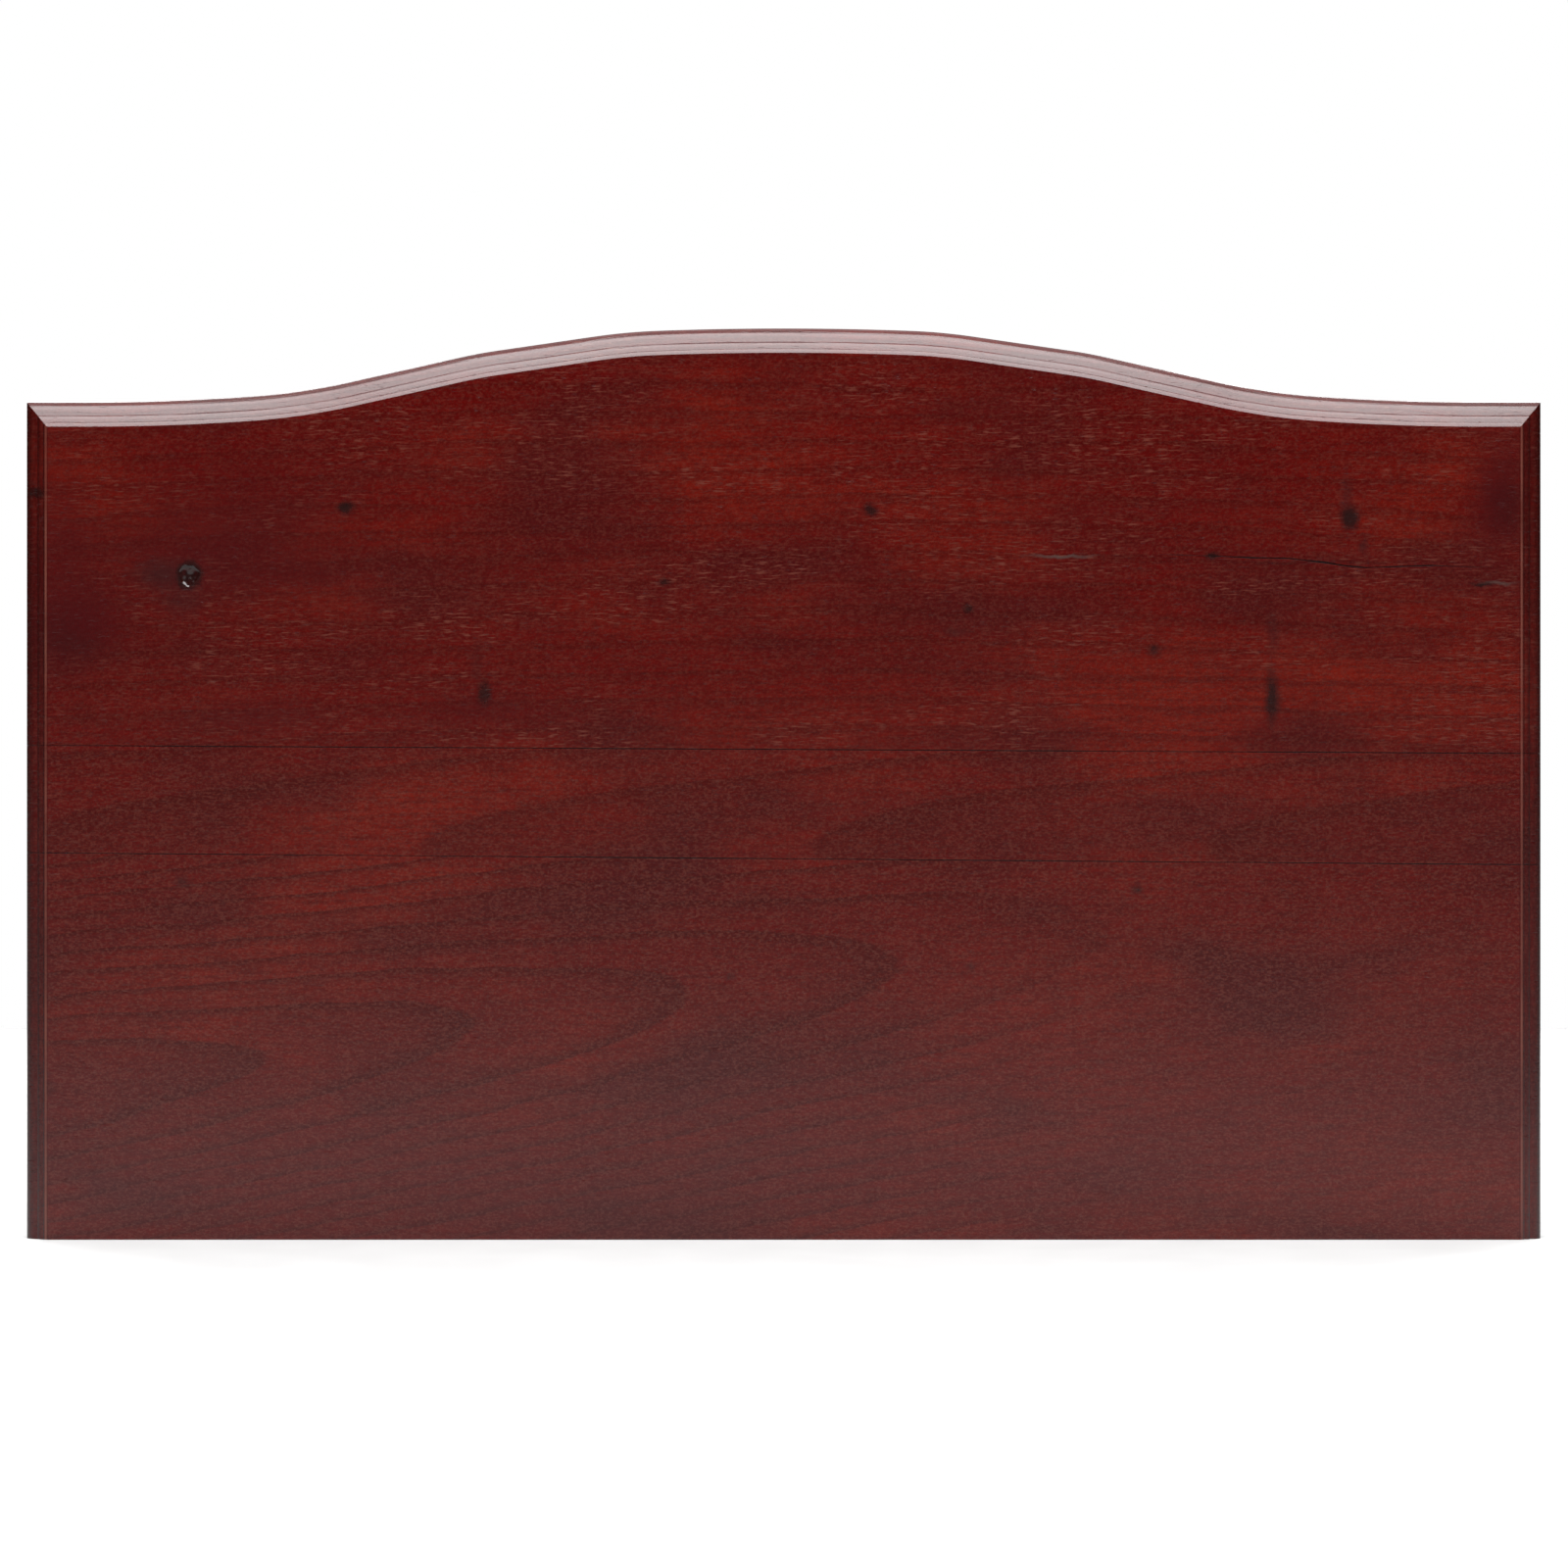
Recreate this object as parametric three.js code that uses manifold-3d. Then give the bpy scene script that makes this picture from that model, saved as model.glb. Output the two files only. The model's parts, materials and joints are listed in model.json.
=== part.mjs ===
// A camel-backed wall plaque of stained hardwood: three edge-glued boards on dowels, a stepped
// ovolo moulding cut along the top and both sides, and two D-ring hangers and two bumpers behind.
// Millimetres, +Z up. The front faces -Y. The origin is the middle of the square-cut bottom edge.

import * as THREE from 'three';
import { mergeVertices } from 'three/addons/utils/BufferGeometryUtils.js';
import Module from 'manifold-3d';

const wasm = await Module();
wasm.setup();

// Panel
const panelWidth = 600;
const panelThickness = 20;
const shoulderHeight = 331.4;
const crestRise = 29.2;
const shoulderFlat = 24;

// Boards, measured up the panel's middle; each joint falls towards +X by its slant
const lowerBoardWidth = 150.5;
const middleBoardWidth = 43.2;
const lowerJointSlant = THREE.MathUtils.degToRad(0.456);
const upperJointSlant = THREE.MathUtils.degToRad(0.305);
const glueLine = 0.2;

// Moulding: three rounds that step up from the edge to the face
const topBandWidth = 10.2;
const sideBandWidth = 8.9;
const mouldingDepth = 7.4;
const mouldingStep = 0.45;
const backArris = 0.8;
// Where the first and second rounds end: how far in from the edge, as a share of the band, and
// how far below the face, as a share of the moulding's depth
const firstRound = { inwards: 0.55, below: 0.42 };
const secondRound = { inwards: 0.83, below: 0.17 };
// The upper rounds start partly turned, so that they are flatter than a full quarter
const flatRoundStart = 0.6;

// Dowels
const dowelsPerJoint = 4;
const dowelRadius = 4;
const dowelLength = 30;
const dowelChamfer = 1;
const dowelFlutes = 10;
const fluteDepth = 0.35;
const dowelEndDistance = 75;
const boreEndRoom = 1;

// Hangers
const hangerEndDistance = 100;
const hangerAboveDowels = 6;
const strapWidth = 12;
const strapSheet = 1;
const strapFold = 0.3;
// How far the strip wraps round its eye before it turns back down onto itself
const eyeWrap = THREE.MathUtils.degToRad(218);
const ringWireRadius = 1.3;
const ringHalfWidth = 9.5;
const ringCornerRadius = 2.8;
const ringSideLength = 3.2;
const strapScrewPitch = 15;
const strapEndMargin = 6;
const screwBelowRing = 6;

// Screws
const screwThreadRadius = 1.75;
const screwCoreRadius = 1.25;
const screwThreadPitch = 2.2;
const screwBite = 13.5;
const screwTipLength = 3;
const screwHeadRadius = 3.4;
const screwHeadHeight = 2;
const screwHeadRim = 0.8;
const recessWidth = 0.9;
const recessSpan = 3.6;
const recessDepth = 1.1;

// Bumpers
const bumperRadius = 6;
const bumperHeight = 3.2;
const bumperRound = 1.6;
const bumperInset = 22;

// Flat sides given to round holes and round pieces
const holeSides = 24;
const boreSides = 32;
const wireSides = 10;
const screwSides = 14;
const bumperSides = 24;

// Room left between a piece and the hole made for it
const clearance = 0.3;
// How far a cutting shape runs past what it cuts
const overrun = 5;

const halfWidth = panelWidth / 2;
const frontY = -panelThickness / 2;
const backY = panelThickness / 2;
const crestHeight = shoulderHeight + crestRise;

// Finishes
const stainedHardwood = { color: 0x571510, roughness: 0.42, metalness: 0 };
const beech = { color: 0xcfa877, roughness: 0.75, metalness: 0 };
const brass = { color: 0xb08d45, roughness: 0.35, metalness: 1 };
const blackRubber = { color: 0x1b1a1a, roughness: 0.85, metalness: 0 };

// ---- Solids ----

function toSolid(geometry) {
  const bare = geometry.clone();
  bare.deleteAttribute('normal');
  bare.deleteAttribute('uv');
  const merged = mergeVertices(bare, 1e-5);
  const solidMesh = new wasm.Mesh({
    numProp: 3,
    vertProperties: new Float32Array(merged.attributes.position.array),
    triVerts: new Uint32Array(merged.index.array),
  });
  return new wasm.Manifold(solidMesh);
}

function toGeometry(solid) {
  const solidMesh = solid.getMesh();
  const stride = solidMesh.numProp;
  const positions = new Float32Array(solidMesh.numVert * 3);
  for (let i = 0; i < solidMesh.numVert; i += 1) {
    positions.set(solidMesh.vertProperties.subarray(i * stride, i * stride + 3), i * 3);
  }
  const geometry = new THREE.BufferGeometry();
  geometry.setAttribute('position', new THREE.BufferAttribute(positions, 3));
  geometry.setIndex(new THREE.BufferAttribute(new Uint32Array(solidMesh.triVerts), 1));
  geometry.computeVertexNormals();
  return geometry;
}

function cutAll(solid, cutters) {
  return cutters.reduce((left, cutter) => left.subtract(cutter), solid);
}

// A skin through rings of points. An open run of rings is capped at both ends; a closed run
// joins its last ring to its first.
function loft(rings, closed, capOutline) {
  const sides = rings[0].length;
  const indices = [];
  const joins = closed ? rings.length : rings.length - 1;
  for (let i = 0; i < joins; i += 1) {
    const here = i * sides;
    const next = ((i + 1) % rings.length) * sides;
    for (let j = 0; j < sides; j += 1) {
      const k = (j + 1) % sides;
      indices.push(here + j, here + k, next + k);
      indices.push(here + j, next + k, next + j);
    }
  }
  if (!closed) {
    const last = (rings.length - 1) * sides;
    const clockwise = THREE.ShapeUtils.isClockWise(capOutline);
    for (const [a, b, c] of THREE.ShapeUtils.triangulateShape(capOutline, [])) {
      const [first, second] = clockwise ? [a, c] : [c, a];
      indices.push(first, b, second);
      indices.push(last + second, last + b, last + first);
    }
  }
  const geometry = new THREE.BufferGeometry();
  geometry.setFromPoints(rings.flat());
  geometry.setIndex(indices);
  return geometry;
}

// Stands a shape drawn in X and Z up as a plate between two values of Y
function plateXZ(shape, lowY, highY) {
  const geometry = new THREE.ExtrudeGeometry(shape, { depth: highY - lowY, bevelEnabled: false });
  geometry.rotateX(Math.PI / 2);
  geometry.translate(0, highY, 0);
  return geometry;
}

function holeAlongY(radius, x, z, lowY, highY) {
  const hole = new THREE.CylinderGeometry(radius, radius, highY - lowY, holeSides);
  hole.translate(x, (lowY + highY) / 2, z);
  return toSolid(hole);
}

// ---- The top edge ----

// From the crest's middle outwards: how far along the swell a stretch ends, as a share of the
// swell's reach, and how steep the edge is there, in degrees before it is scaled to the rise
const swell = [
  { end: 0, steepness: 0 },
  { end: 0.181, steepness: 2.1 },
  { end: 0.272, steepness: 8.3 },
  { end: 0.413, steepness: 8.3 },
  { end: 0.464, steepness: 12.6 },
  { end: 0.62, steepness: 12.6 },
  { end: 0.768, steepness: 3.9 },
  { end: 1, steepness: 0 },
];
const swellReach = halfWidth - shoulderFlat;

function slopeOf(steepness) {
  return Math.tan(THREE.MathUtils.degToRad(steepness));
}

// Fall of the edge, and its slope, at a distance from the middle, before scaling
function unscaledFall(distance) {
  let fall = 0;
  for (let i = 1; i < swell.length; i += 1) {
    const start = swell[i - 1].end * swellReach;
    const length = swell[i].end * swellReach - start;
    const startSlope = slopeOf(swell[i - 1].steepness);
    const gain = slopeOf(swell[i].steepness) - startSlope;
    const along = THREE.MathUtils.clamp(distance - start, 0, length);
    fall += startSlope * along + (gain * along * along) / (2 * length);
    if (distance <= start + length) {
      return { fall, slope: startSlope + (gain * along) / length };
    }
  }
  return { fall, slope: 0 };
}

const riseScale = crestRise / unscaledFall(halfWidth).fall;

function topEdgeAt(x) {
  const { fall, slope } = unscaledFall(Math.abs(x));
  const tilt = Math.atan(slope * riseScale) * Math.sign(x);
  return {
    x,
    z: crestHeight - fall * riseScale,
    outX: Math.sin(tilt),
    outZ: Math.cos(tilt),
  };
}

// ---- The moulding ----

// A rounded step of the moulding, from the point nearer the edge to the point nearer the face:
// a quarter of an ellipse that leaves the edge side upright and meets the face side level
function roundedStep(low, high, turns, startTurn) {
  const points = [];
  for (let i = 0; i <= turns; i += 1) {
    const angle = startTurn + ((Math.PI / 2 - startTurn) * i) / turns;
    const across = (Math.cos(startTurn) - Math.cos(angle)) / Math.cos(startTurn);
    const up = (Math.sin(angle) - Math.sin(startTurn)) / (1 - Math.sin(startTurn));
    points.push(new THREE.Vector2(
      THREE.MathUtils.lerp(low.x, high.x, across),
      THREE.MathUtils.lerp(low.y, high.y, up),
    ));
  }
  return points;
}

// The section that the cutter takes off an edge: X runs in from the edge, Y back from the face
function cutterSection(bandWidth) {
  const corner = (x, y) => new THREE.Vector2(x, y);
  const ofBand = ({ inwards, below: depth }) => (
    corner(bandWidth * inwards, mouldingDepth * depth)
  );
  const stepUp = (end) => corner(end.x, end.y - mouldingStep);
  const edge = corner(0, mouldingDepth);
  const first = ofBand(firstRound);
  const second = ofBand(secondRound);
  const face = corner(bandWidth, 0);
  const outside = -crestRise - 2 * overrun;
  return [
    corner(outside, panelThickness + overrun),
    corner(backArris, panelThickness + overrun),
    corner(backArris, panelThickness),
    corner(0, panelThickness - backArris),
    ...roundedStep(edge, first, 6, 0),
    ...roundedStep(stepUp(first), second, 3, flatRoundStart),
    ...roundedStep(stepUp(second), face, 3, flatRoundStart),
    corner(bandWidth, -overrun),
    corner(outside, -overrun),
  ];
}

// Runs a cutter section past stations on an edge, each with a point and an outward direction
function edgeCutter(section, stations) {
  const rings = stations.map((station) => section.map((point) => new THREE.Vector3(
    station.x - station.outX * point.x,
    frontY + point.y,
    station.z - station.outZ * point.x,
  )));
  return toSolid(loft(rings, false, section));
}

function topCutter() {
  const spans = 64;
  const reach = halfWidth + overrun;
  const stations = [];
  for (let i = 0; i <= spans; i += 1) {
    stations.push(topEdgeAt(THREE.MathUtils.lerp(reach, -reach, i / spans)));
  }
  return edgeCutter(cutterSection(topBandWidth), stations);
}

function sideCutter(side) {
  const heights = [-overrun, crestHeight + overrun];
  if (side < 0) heights.reverse();
  const stations = heights.map((z) => ({ x: side * halfWidth, z, outX: side, outZ: 0 }));
  return edgeCutter(cutterSection(sideBandWidth), stations);
}

// ---- Joints between the boards ----

const lowerJoint = { height: lowerBoardWidth, slant: lowerJointSlant };
const upperJoint = { height: lowerBoardWidth + middleBoardWidth, slant: upperJointSlant };

function jointHeight(joint, x) {
  return joint.height - x * Math.tan(joint.slant);
}

const dowelSpacing = (panelWidth - 2 * dowelEndDistance) / (dowelsPerJoint - 1);

function dowelPlaces(joint) {
  return Array.from({ length: dowelsPerJoint }, (_, i) => {
    const x = -halfWidth + dowelEndDistance + i * dowelSpacing;
    return { x, z: jointHeight(joint, x) };
  });
}

function dowelBores(joint) {
  return dowelPlaces(joint).map(({ x, z }) => {
    const radius = dowelRadius + clearance;
    const bore = new THREE.CylinderGeometry(radius, radius, dowelLength + 2 * boreEndRoom, boreSides);
    bore.rotateX(Math.PI / 2);
    bore.translate(x, 0, z);
    return toSolid(bore);
  });
}

// A fluted dowel with chamfered ends, standing along Z about its middle
function dowelGeometry() {
  const outline = new THREE.Shape(Array.from({ length: dowelFlutes * 3 }, (_, i) => {
    const angle = (i / (dowelFlutes * 3)) * 2 * Math.PI;
    const radius = dowelRadius - dowelChamfer - (i % 3 === 0 ? fluteDepth : 0);
    return new THREE.Vector2(radius * Math.cos(angle), radius * Math.sin(angle));
  }));
  const geometry = new THREE.ExtrudeGeometry(outline, {
    depth: dowelLength - 2 * dowelChamfer,
    bevelThickness: dowelChamfer,
    bevelSize: dowelChamfer,
    bevelSegments: 1,
  });
  geometry.translate(0, 0, dowelChamfer - dowelLength / 2);
  return geometry;
}

// ---- Hangers ----

const eyeInnerRadius = ringWireRadius + clearance;
const eyeMiddleRadius = eyeInnerRadius + strapSheet / 2;
const eyeY = eyeInnerRadius + strapSheet;
const strapTopY = 2 * strapSheet + strapFold;
const ringDrop = ringCornerRadius + ringSideLength + ringHalfWidth;
const firstScrewDrop = ringDrop + ringWireRadius + screwBelowRing;
const screwDrops = { upper: firstScrewDrop, lower: firstScrewDrop + strapScrewPitch };
const strapDrop = screwDrops.lower + strapEndMargin;
const hangerX = halfWidth - hangerEndDistance;
const dowelTop = jointHeight(upperJoint, -hangerX) + dowelLength / 2 + boreEndRoom;
const eyeHeight = dowelTop + hangerAboveDowels + strapDrop;

// The hanging ring leans out on the strap's front; this is how far, measured from straight down
const ringLean = Math.asin((strapTopY + clearance + ringWireRadius - eyeY) / ringDrop);

// The middle line of the folded strip, in Y and Z from the board's back at the eye's height
function foldedLine() {
  const steps = 20;
  const line = [new THREE.Vector2(strapSheet / 2, -strapDrop)];
  for (let i = 0; i <= steps; i += 1) {
    const angle = (eyeWrap * i) / steps;
    line.push(new THREE.Vector2(
      eyeY - eyeMiddleRadius * Math.cos(angle),
      eyeMiddleRadius * Math.sin(angle),
    ));
  }
  const frontLayerY = strapSheet * 1.5 + strapFold;
  const last = line[line.length - 1];
  const run = (last.x - frontLayerY) / -Math.sin(eyeWrap);
  line.push(new THREE.Vector2(frontLayerY, last.y + Math.cos(eyeWrap) * run));
  line.push(new THREE.Vector2(frontLayerY, -strapDrop));
  return line;
}

// Moves each point of a line sideways, keeping corners at their mitre
function sideways(line, distance) {
  return line.map((point, i) => {
    const before = line[Math.max(i - 1, 0)];
    const after = line[Math.min(i + 1, line.length - 1)];
    const first = point.clone().sub(i > 0 ? before : point).normalize();
    const second = after.clone().sub(point).normalize();
    const here = i > 0 ? first : second;
    const there = i < line.length - 1 ? second : first;
    const bisector = new THREE.Vector2(-here.y - there.y, here.x + there.x).normalize();
    const stretch = distance / bisector.dot(new THREE.Vector2(-here.y, here.x));
    return point.clone().addScaledVector(bisector, stretch);
  });
}

function strapGeometry() {
  const line = foldedLine();
  const outline = [
    ...sideways(line, strapSheet / 2),
    ...sideways(line, -strapSheet / 2).reverse(),
  ];
  const strip = new THREE.ExtrudeGeometry(new THREE.Shape(outline), {
    depth: strapWidth,
    bevelEnabled: false,
  });
  strip.translate(0, 0, -strapWidth / 2);
  strip.applyMatrix4(new THREE.Matrix4().makeBasis(
    new THREE.Vector3(0, 1, 0),
    new THREE.Vector3(0, 0, 1),
    new THREE.Vector3(1, 0, 0),
  ));
  const roundEnd = new THREE.Shape();
  roundEnd.absarc(0, strapWidth / 2 - strapDrop, strapWidth / 2, Math.PI, 2 * Math.PI, false);
  roundEnd.lineTo(strapWidth / 2, eyeY + overrun);
  roundEnd.lineTo(-strapWidth / 2, eyeY + overrun);
  const trimmed = toSolid(strip).intersect(
    toSolid(plateXZ(roundEnd, -overrun, 2 * eyeY + overrun)),
  );
  const holes = Object.values(screwDrops).map((drop) => (
    holeAlongY(screwThreadRadius + clearance, 0, -drop, -overrun, strapTopY + overrun)
  ));
  return toGeometry(cutAll(trimmed, holes));
}

// A D-ring about its straight bar's middle, hanging down along -Z
function ringGeometry() {
  const corner = ringCornerRadius;
  const outline = new THREE.Shape();
  outline.moveTo(-ringHalfWidth + corner, 0);
  outline.lineTo(ringHalfWidth - corner, 0);
  outline.absarc(ringHalfWidth - corner, -corner, corner, Math.PI / 2, 0, true);
  outline.absarc(0, ringHalfWidth - ringDrop, ringHalfWidth, 0, -Math.PI, true);
  outline.absarc(-ringHalfWidth + corner, -corner, corner, Math.PI, Math.PI / 2, true);
  const points = outline.getPoints(6).filter((point, i, all) => (
    point.distanceTo(all[(i + 1) % all.length]) > 1e-4
  ));
  const rings = points.map((point, i) => {
    const before = points[(i + points.length - 1) % points.length];
    const after = points[(i + 1) % points.length];
    const along = after.clone().sub(before).normalize();
    return Array.from({ length: wireSides }, (_, j) => {
      const angle = (j / wireSides) * 2 * Math.PI;
      const inPlane = ringWireRadius * Math.cos(angle);
      return new THREE.Vector3(
        point.x + along.y * inPlane,
        ringWireRadius * Math.sin(angle),
        point.y - along.x * inPlane,
      );
    });
  });
  return toGeometry(toSolid(loft(rings, true)));
}

// A pan-head wood screw along Y: its head stands out on +Y and seats at Y = 0
function screwGeometry() {
  const shankLength = screwBite + strapTopY;
  const threadStart = -strapTopY;
  const tipStart = -shankLength + screwTipLength;
  const turns = Math.floor((threadStart - tipStart) / screwThreadPitch);
  const profile = [new THREE.Vector2(0, -shankLength)];
  profile.push(new THREE.Vector2(screwCoreRadius, tipStart));
  for (let i = 0; i < turns; i += 1) {
    const y = tipStart + i * screwThreadPitch;
    profile.push(new THREE.Vector2(screwThreadRadius, y + screwThreadPitch * 0.35));
    profile.push(new THREE.Vector2(screwCoreRadius, y + screwThreadPitch * 0.7));
    profile.push(new THREE.Vector2(screwCoreRadius, y + screwThreadPitch));
  }
  profile.push(new THREE.Vector2(screwThreadRadius, threadStart));
  profile.push(new THREE.Vector2(screwThreadRadius, 0));
  profile.push(new THREE.Vector2(screwHeadRadius, 0));
  const steps = 3;
  for (let i = 0; i < steps; i += 1) {
    const angle = (i / steps) * (Math.PI / 2);
    profile.push(new THREE.Vector2(
      screwHeadRadius * Math.cos(angle),
      screwHeadRim + (screwHeadHeight - screwHeadRim) * Math.sin(angle),
    ));
  }
  profile.push(new THREE.Vector2(0, screwHeadHeight));
  const body = toSolid(new THREE.LatheGeometry(profile, screwSides));
  const slot = new THREE.BoxGeometry(recessSpan, 2 * recessDepth, recessWidth);
  slot.translate(0, screwHeadHeight, 0);
  const crossSlot = slot.clone().rotateY(Math.PI / 2);
  return toGeometry(cutAll(body, [toSolid(slot), toSolid(crossSlot)]));
}

// A bumper about Y, standing out on +Y from Y = 0
function bumperGeometry() {
  const profile = [new THREE.Vector2(0, 0), new THREE.Vector2(bumperRadius, 0)];
  const steps = 4;
  for (let i = 0; i <= steps; i += 1) {
    const angle = (i / steps) * (Math.PI / 2);
    profile.push(new THREE.Vector2(
      bumperRadius - bumperRound * (1 - Math.cos(angle)),
      bumperHeight - bumperRound * (1 - Math.sin(angle)),
    ));
  }
  profile.push(new THREE.Vector2(0, bumperHeight));
  return new THREE.LatheGeometry(profile, bumperSides);
}

// ---- Boards ----

function pilotHoles() {
  return [-hangerX, hangerX].flatMap((x) => Object.values(screwDrops).map((drop) => holeAlongY(
    screwThreadRadius + clearance,
    x,
    eyeHeight - drop,
    backY - screwBite - boreEndRoom,
    backY + overrun,
  )));
}

const edgeCutters = [topCutter(), sideCutter(-1), sideCutter(1)];

// A board between two edges, each given as a height at either end of the panel
function boardGeometry(bottomAt, topAt, holes) {
  const reach = halfWidth + overrun;
  const outline = new THREE.Shape([
    new THREE.Vector2(-reach, bottomAt(-reach)),
    new THREE.Vector2(reach, bottomAt(reach)),
    new THREE.Vector2(reach, topAt(reach)),
    new THREE.Vector2(-reach, topAt(-reach)),
  ]);
  const blank = toSolid(plateXZ(outline, frontY, backY));
  return toGeometry(cutAll(blank, [...edgeCutters, ...holes]));
}

const below = (joint) => (x) => jointHeight(joint, x) - glueLine / 2;
const above = (joint) => (x) => jointHeight(joint, x) + glueLine / 2;

// ---- The plaque ----

const plaque = new THREE.Group();

function addPiece(parent, name, geometry, finish, x = 0, y = 0, z = 0) {
  const piece = new THREE.Mesh(geometry, new THREE.MeshStandardMaterial(finish));
  piece.name = name;
  piece.position.set(x, y, z);
  parent.add(piece);
  return piece;
}

const lowerBores = dowelBores(lowerJoint);
const upperBores = dowelBores(upperJoint);
const boards = {
  lower_board: boardGeometry(() => 0, below(lowerJoint), lowerBores),
  middle_board: boardGeometry(above(lowerJoint), below(upperJoint), [...lowerBores, ...upperBores]),
  upper_board: boardGeometry(
    above(upperJoint),
    () => crestHeight + overrun,
    [...upperBores, ...pilotHoles()],
  ),
};
for (const [name, geometry] of Object.entries(boards)) {
  addPiece(plaque, name, geometry, stainedHardwood);
}

for (const [name, joint] of Object.entries({ lower: lowerJoint, upper: upperJoint })) {
  dowelPlaces(joint).forEach(({ x, z }, i) => {
    addPiece(plaque, `${name}_joint_dowel_${i + 1}`, dowelGeometry(), beech, x, 0, z);
  });
}

for (const [side, direction] of Object.entries({ left: -1, right: 1 })) {
  const hanger = new THREE.Group();
  hanger.position.set(direction * hangerX, backY, eyeHeight);
  addPiece(hanger, `${side}_hanger_strap`, strapGeometry(), brass);
  const ring = addPiece(hanger, `${side}_hanger_ring`, ringGeometry(), brass, 0, eyeY, 0);
  ring.rotation.x = ringLean;
  for (const [place, drop] of Object.entries(screwDrops)) {
    addPiece(hanger, `${side}_hanger_screw_${place}`, screwGeometry(), brass, 0, strapTopY, -drop);
  }
  plaque.add(hanger);
  const bumperX = direction * (halfWidth - bumperInset);
  addPiece(plaque, `${side}_bumper`, bumperGeometry(), blackRubber, bumperX, backY, bumperInset);
}

export default plaque;
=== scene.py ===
"""The looks of a camel-backed wall plaque of stained hardwood.

Three edge-glued boards with a stepped moulding, the dowels between them, two folded brass hangers
with their rings and screws, and two rubber bumpers. Metres, +Z up, the front faces -Y.
"""

import json
import logging
import math
from collections.abc import Callable, Iterable, Sequence
from dataclasses import dataclass, field
from enum import Enum
from typing import Any

import bmesh
import bpy
from mathutils import Matrix, Vector


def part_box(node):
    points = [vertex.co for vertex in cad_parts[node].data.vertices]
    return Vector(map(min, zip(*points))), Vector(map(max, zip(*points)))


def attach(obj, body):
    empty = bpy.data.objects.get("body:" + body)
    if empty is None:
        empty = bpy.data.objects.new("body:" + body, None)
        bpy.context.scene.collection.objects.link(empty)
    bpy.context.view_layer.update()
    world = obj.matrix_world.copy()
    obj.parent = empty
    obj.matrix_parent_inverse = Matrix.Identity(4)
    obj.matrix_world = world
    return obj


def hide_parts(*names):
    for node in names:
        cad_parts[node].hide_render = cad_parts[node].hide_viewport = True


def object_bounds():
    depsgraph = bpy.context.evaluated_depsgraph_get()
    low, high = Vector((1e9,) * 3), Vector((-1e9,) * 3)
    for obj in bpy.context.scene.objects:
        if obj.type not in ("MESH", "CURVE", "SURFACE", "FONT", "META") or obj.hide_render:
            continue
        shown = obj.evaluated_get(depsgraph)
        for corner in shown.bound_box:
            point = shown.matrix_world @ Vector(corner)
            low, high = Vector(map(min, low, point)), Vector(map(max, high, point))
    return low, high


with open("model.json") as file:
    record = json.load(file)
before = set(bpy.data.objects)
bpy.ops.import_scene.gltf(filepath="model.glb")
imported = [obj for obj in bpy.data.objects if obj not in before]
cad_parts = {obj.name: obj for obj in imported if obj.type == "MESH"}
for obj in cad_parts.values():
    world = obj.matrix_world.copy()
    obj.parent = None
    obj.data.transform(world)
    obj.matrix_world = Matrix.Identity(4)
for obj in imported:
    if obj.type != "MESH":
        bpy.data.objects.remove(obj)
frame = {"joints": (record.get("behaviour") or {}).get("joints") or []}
CAD_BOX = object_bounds()
MM = 0.001
TURN = 2 * math.pi
WELD = 1e-6
SQUARE_TO_Y = 0.9999
BORE_SIDES = 48
DOWELS_IN_A_JOINT = 4
Point = tuple[float, float]
Triple = tuple[float, float, float]
Colour = Triple
Inputs = dict[Any, Any]

log = logging.getLogger("plaque")


class Body(Enum):
    """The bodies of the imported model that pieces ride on."""

    PANEL = "panel"
    LEFT_RING = "left_ring"
    RIGHT_RING = "right_ring"


class Slot(Enum):
    """The record's material slots."""

    BOARD = "board"
    DOWEL = "dowel"
    HANGER = "hanger"
    SCREW = "screw"
    BUMPER = "bumper"


class Side(Enum):
    """Which half of the plaque a hanger or bumper is on."""

    LEFT = "left"
    RIGHT = "right"


# ---- Numbers that flow through node trees ----


@dataclass(frozen=True)
class Flow:
    """One output socket of a node tree, with arithmetic that adds Math nodes to the tree."""

    bench: "Bench"
    socket: bpy.types.NodeSocket

    def _math(self, operation: str, *others: "Value") -> "Flow":
        """Feeds this flow and the others to a Math node."""
        return self.bench.math(operation, self, *others)

    def __add__(self, other: "Value") -> "Flow":
        """Adds."""
        return self._math("ADD", other)

    __radd__ = __add__

    def __sub__(self, other: "Value") -> "Flow":
        """Subtracts."""
        return self._math("SUBTRACT", other)

    def __rsub__(self, other: "Value") -> "Flow":
        """Subtracts from a number."""
        return self.bench.math("SUBTRACT", other, self)

    def __mul__(self, other: "Value") -> "Flow":
        """Multiplies."""
        return self._math("MULTIPLY", other)

    __rmul__ = __mul__

    def __truediv__(self, other: "Value") -> "Flow":
        """Divides."""
        return self._math("DIVIDE", other)

    def power(self, exponent: float) -> "Flow":
        """Raises to a power."""
        return self._math("POWER", exponent)

    def size(self) -> "Flow":
        """Drops the sign."""
        return self._math("ABSOLUTE")

    def fraction(self) -> "Flow":
        """Keeps what follows the decimal point."""
        return self._math("FRACT")

    def most(self, other: "Value") -> "Flow":
        """The larger of the two."""
        return self._math("MAXIMUM", other)


Value = Flow | float


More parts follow.
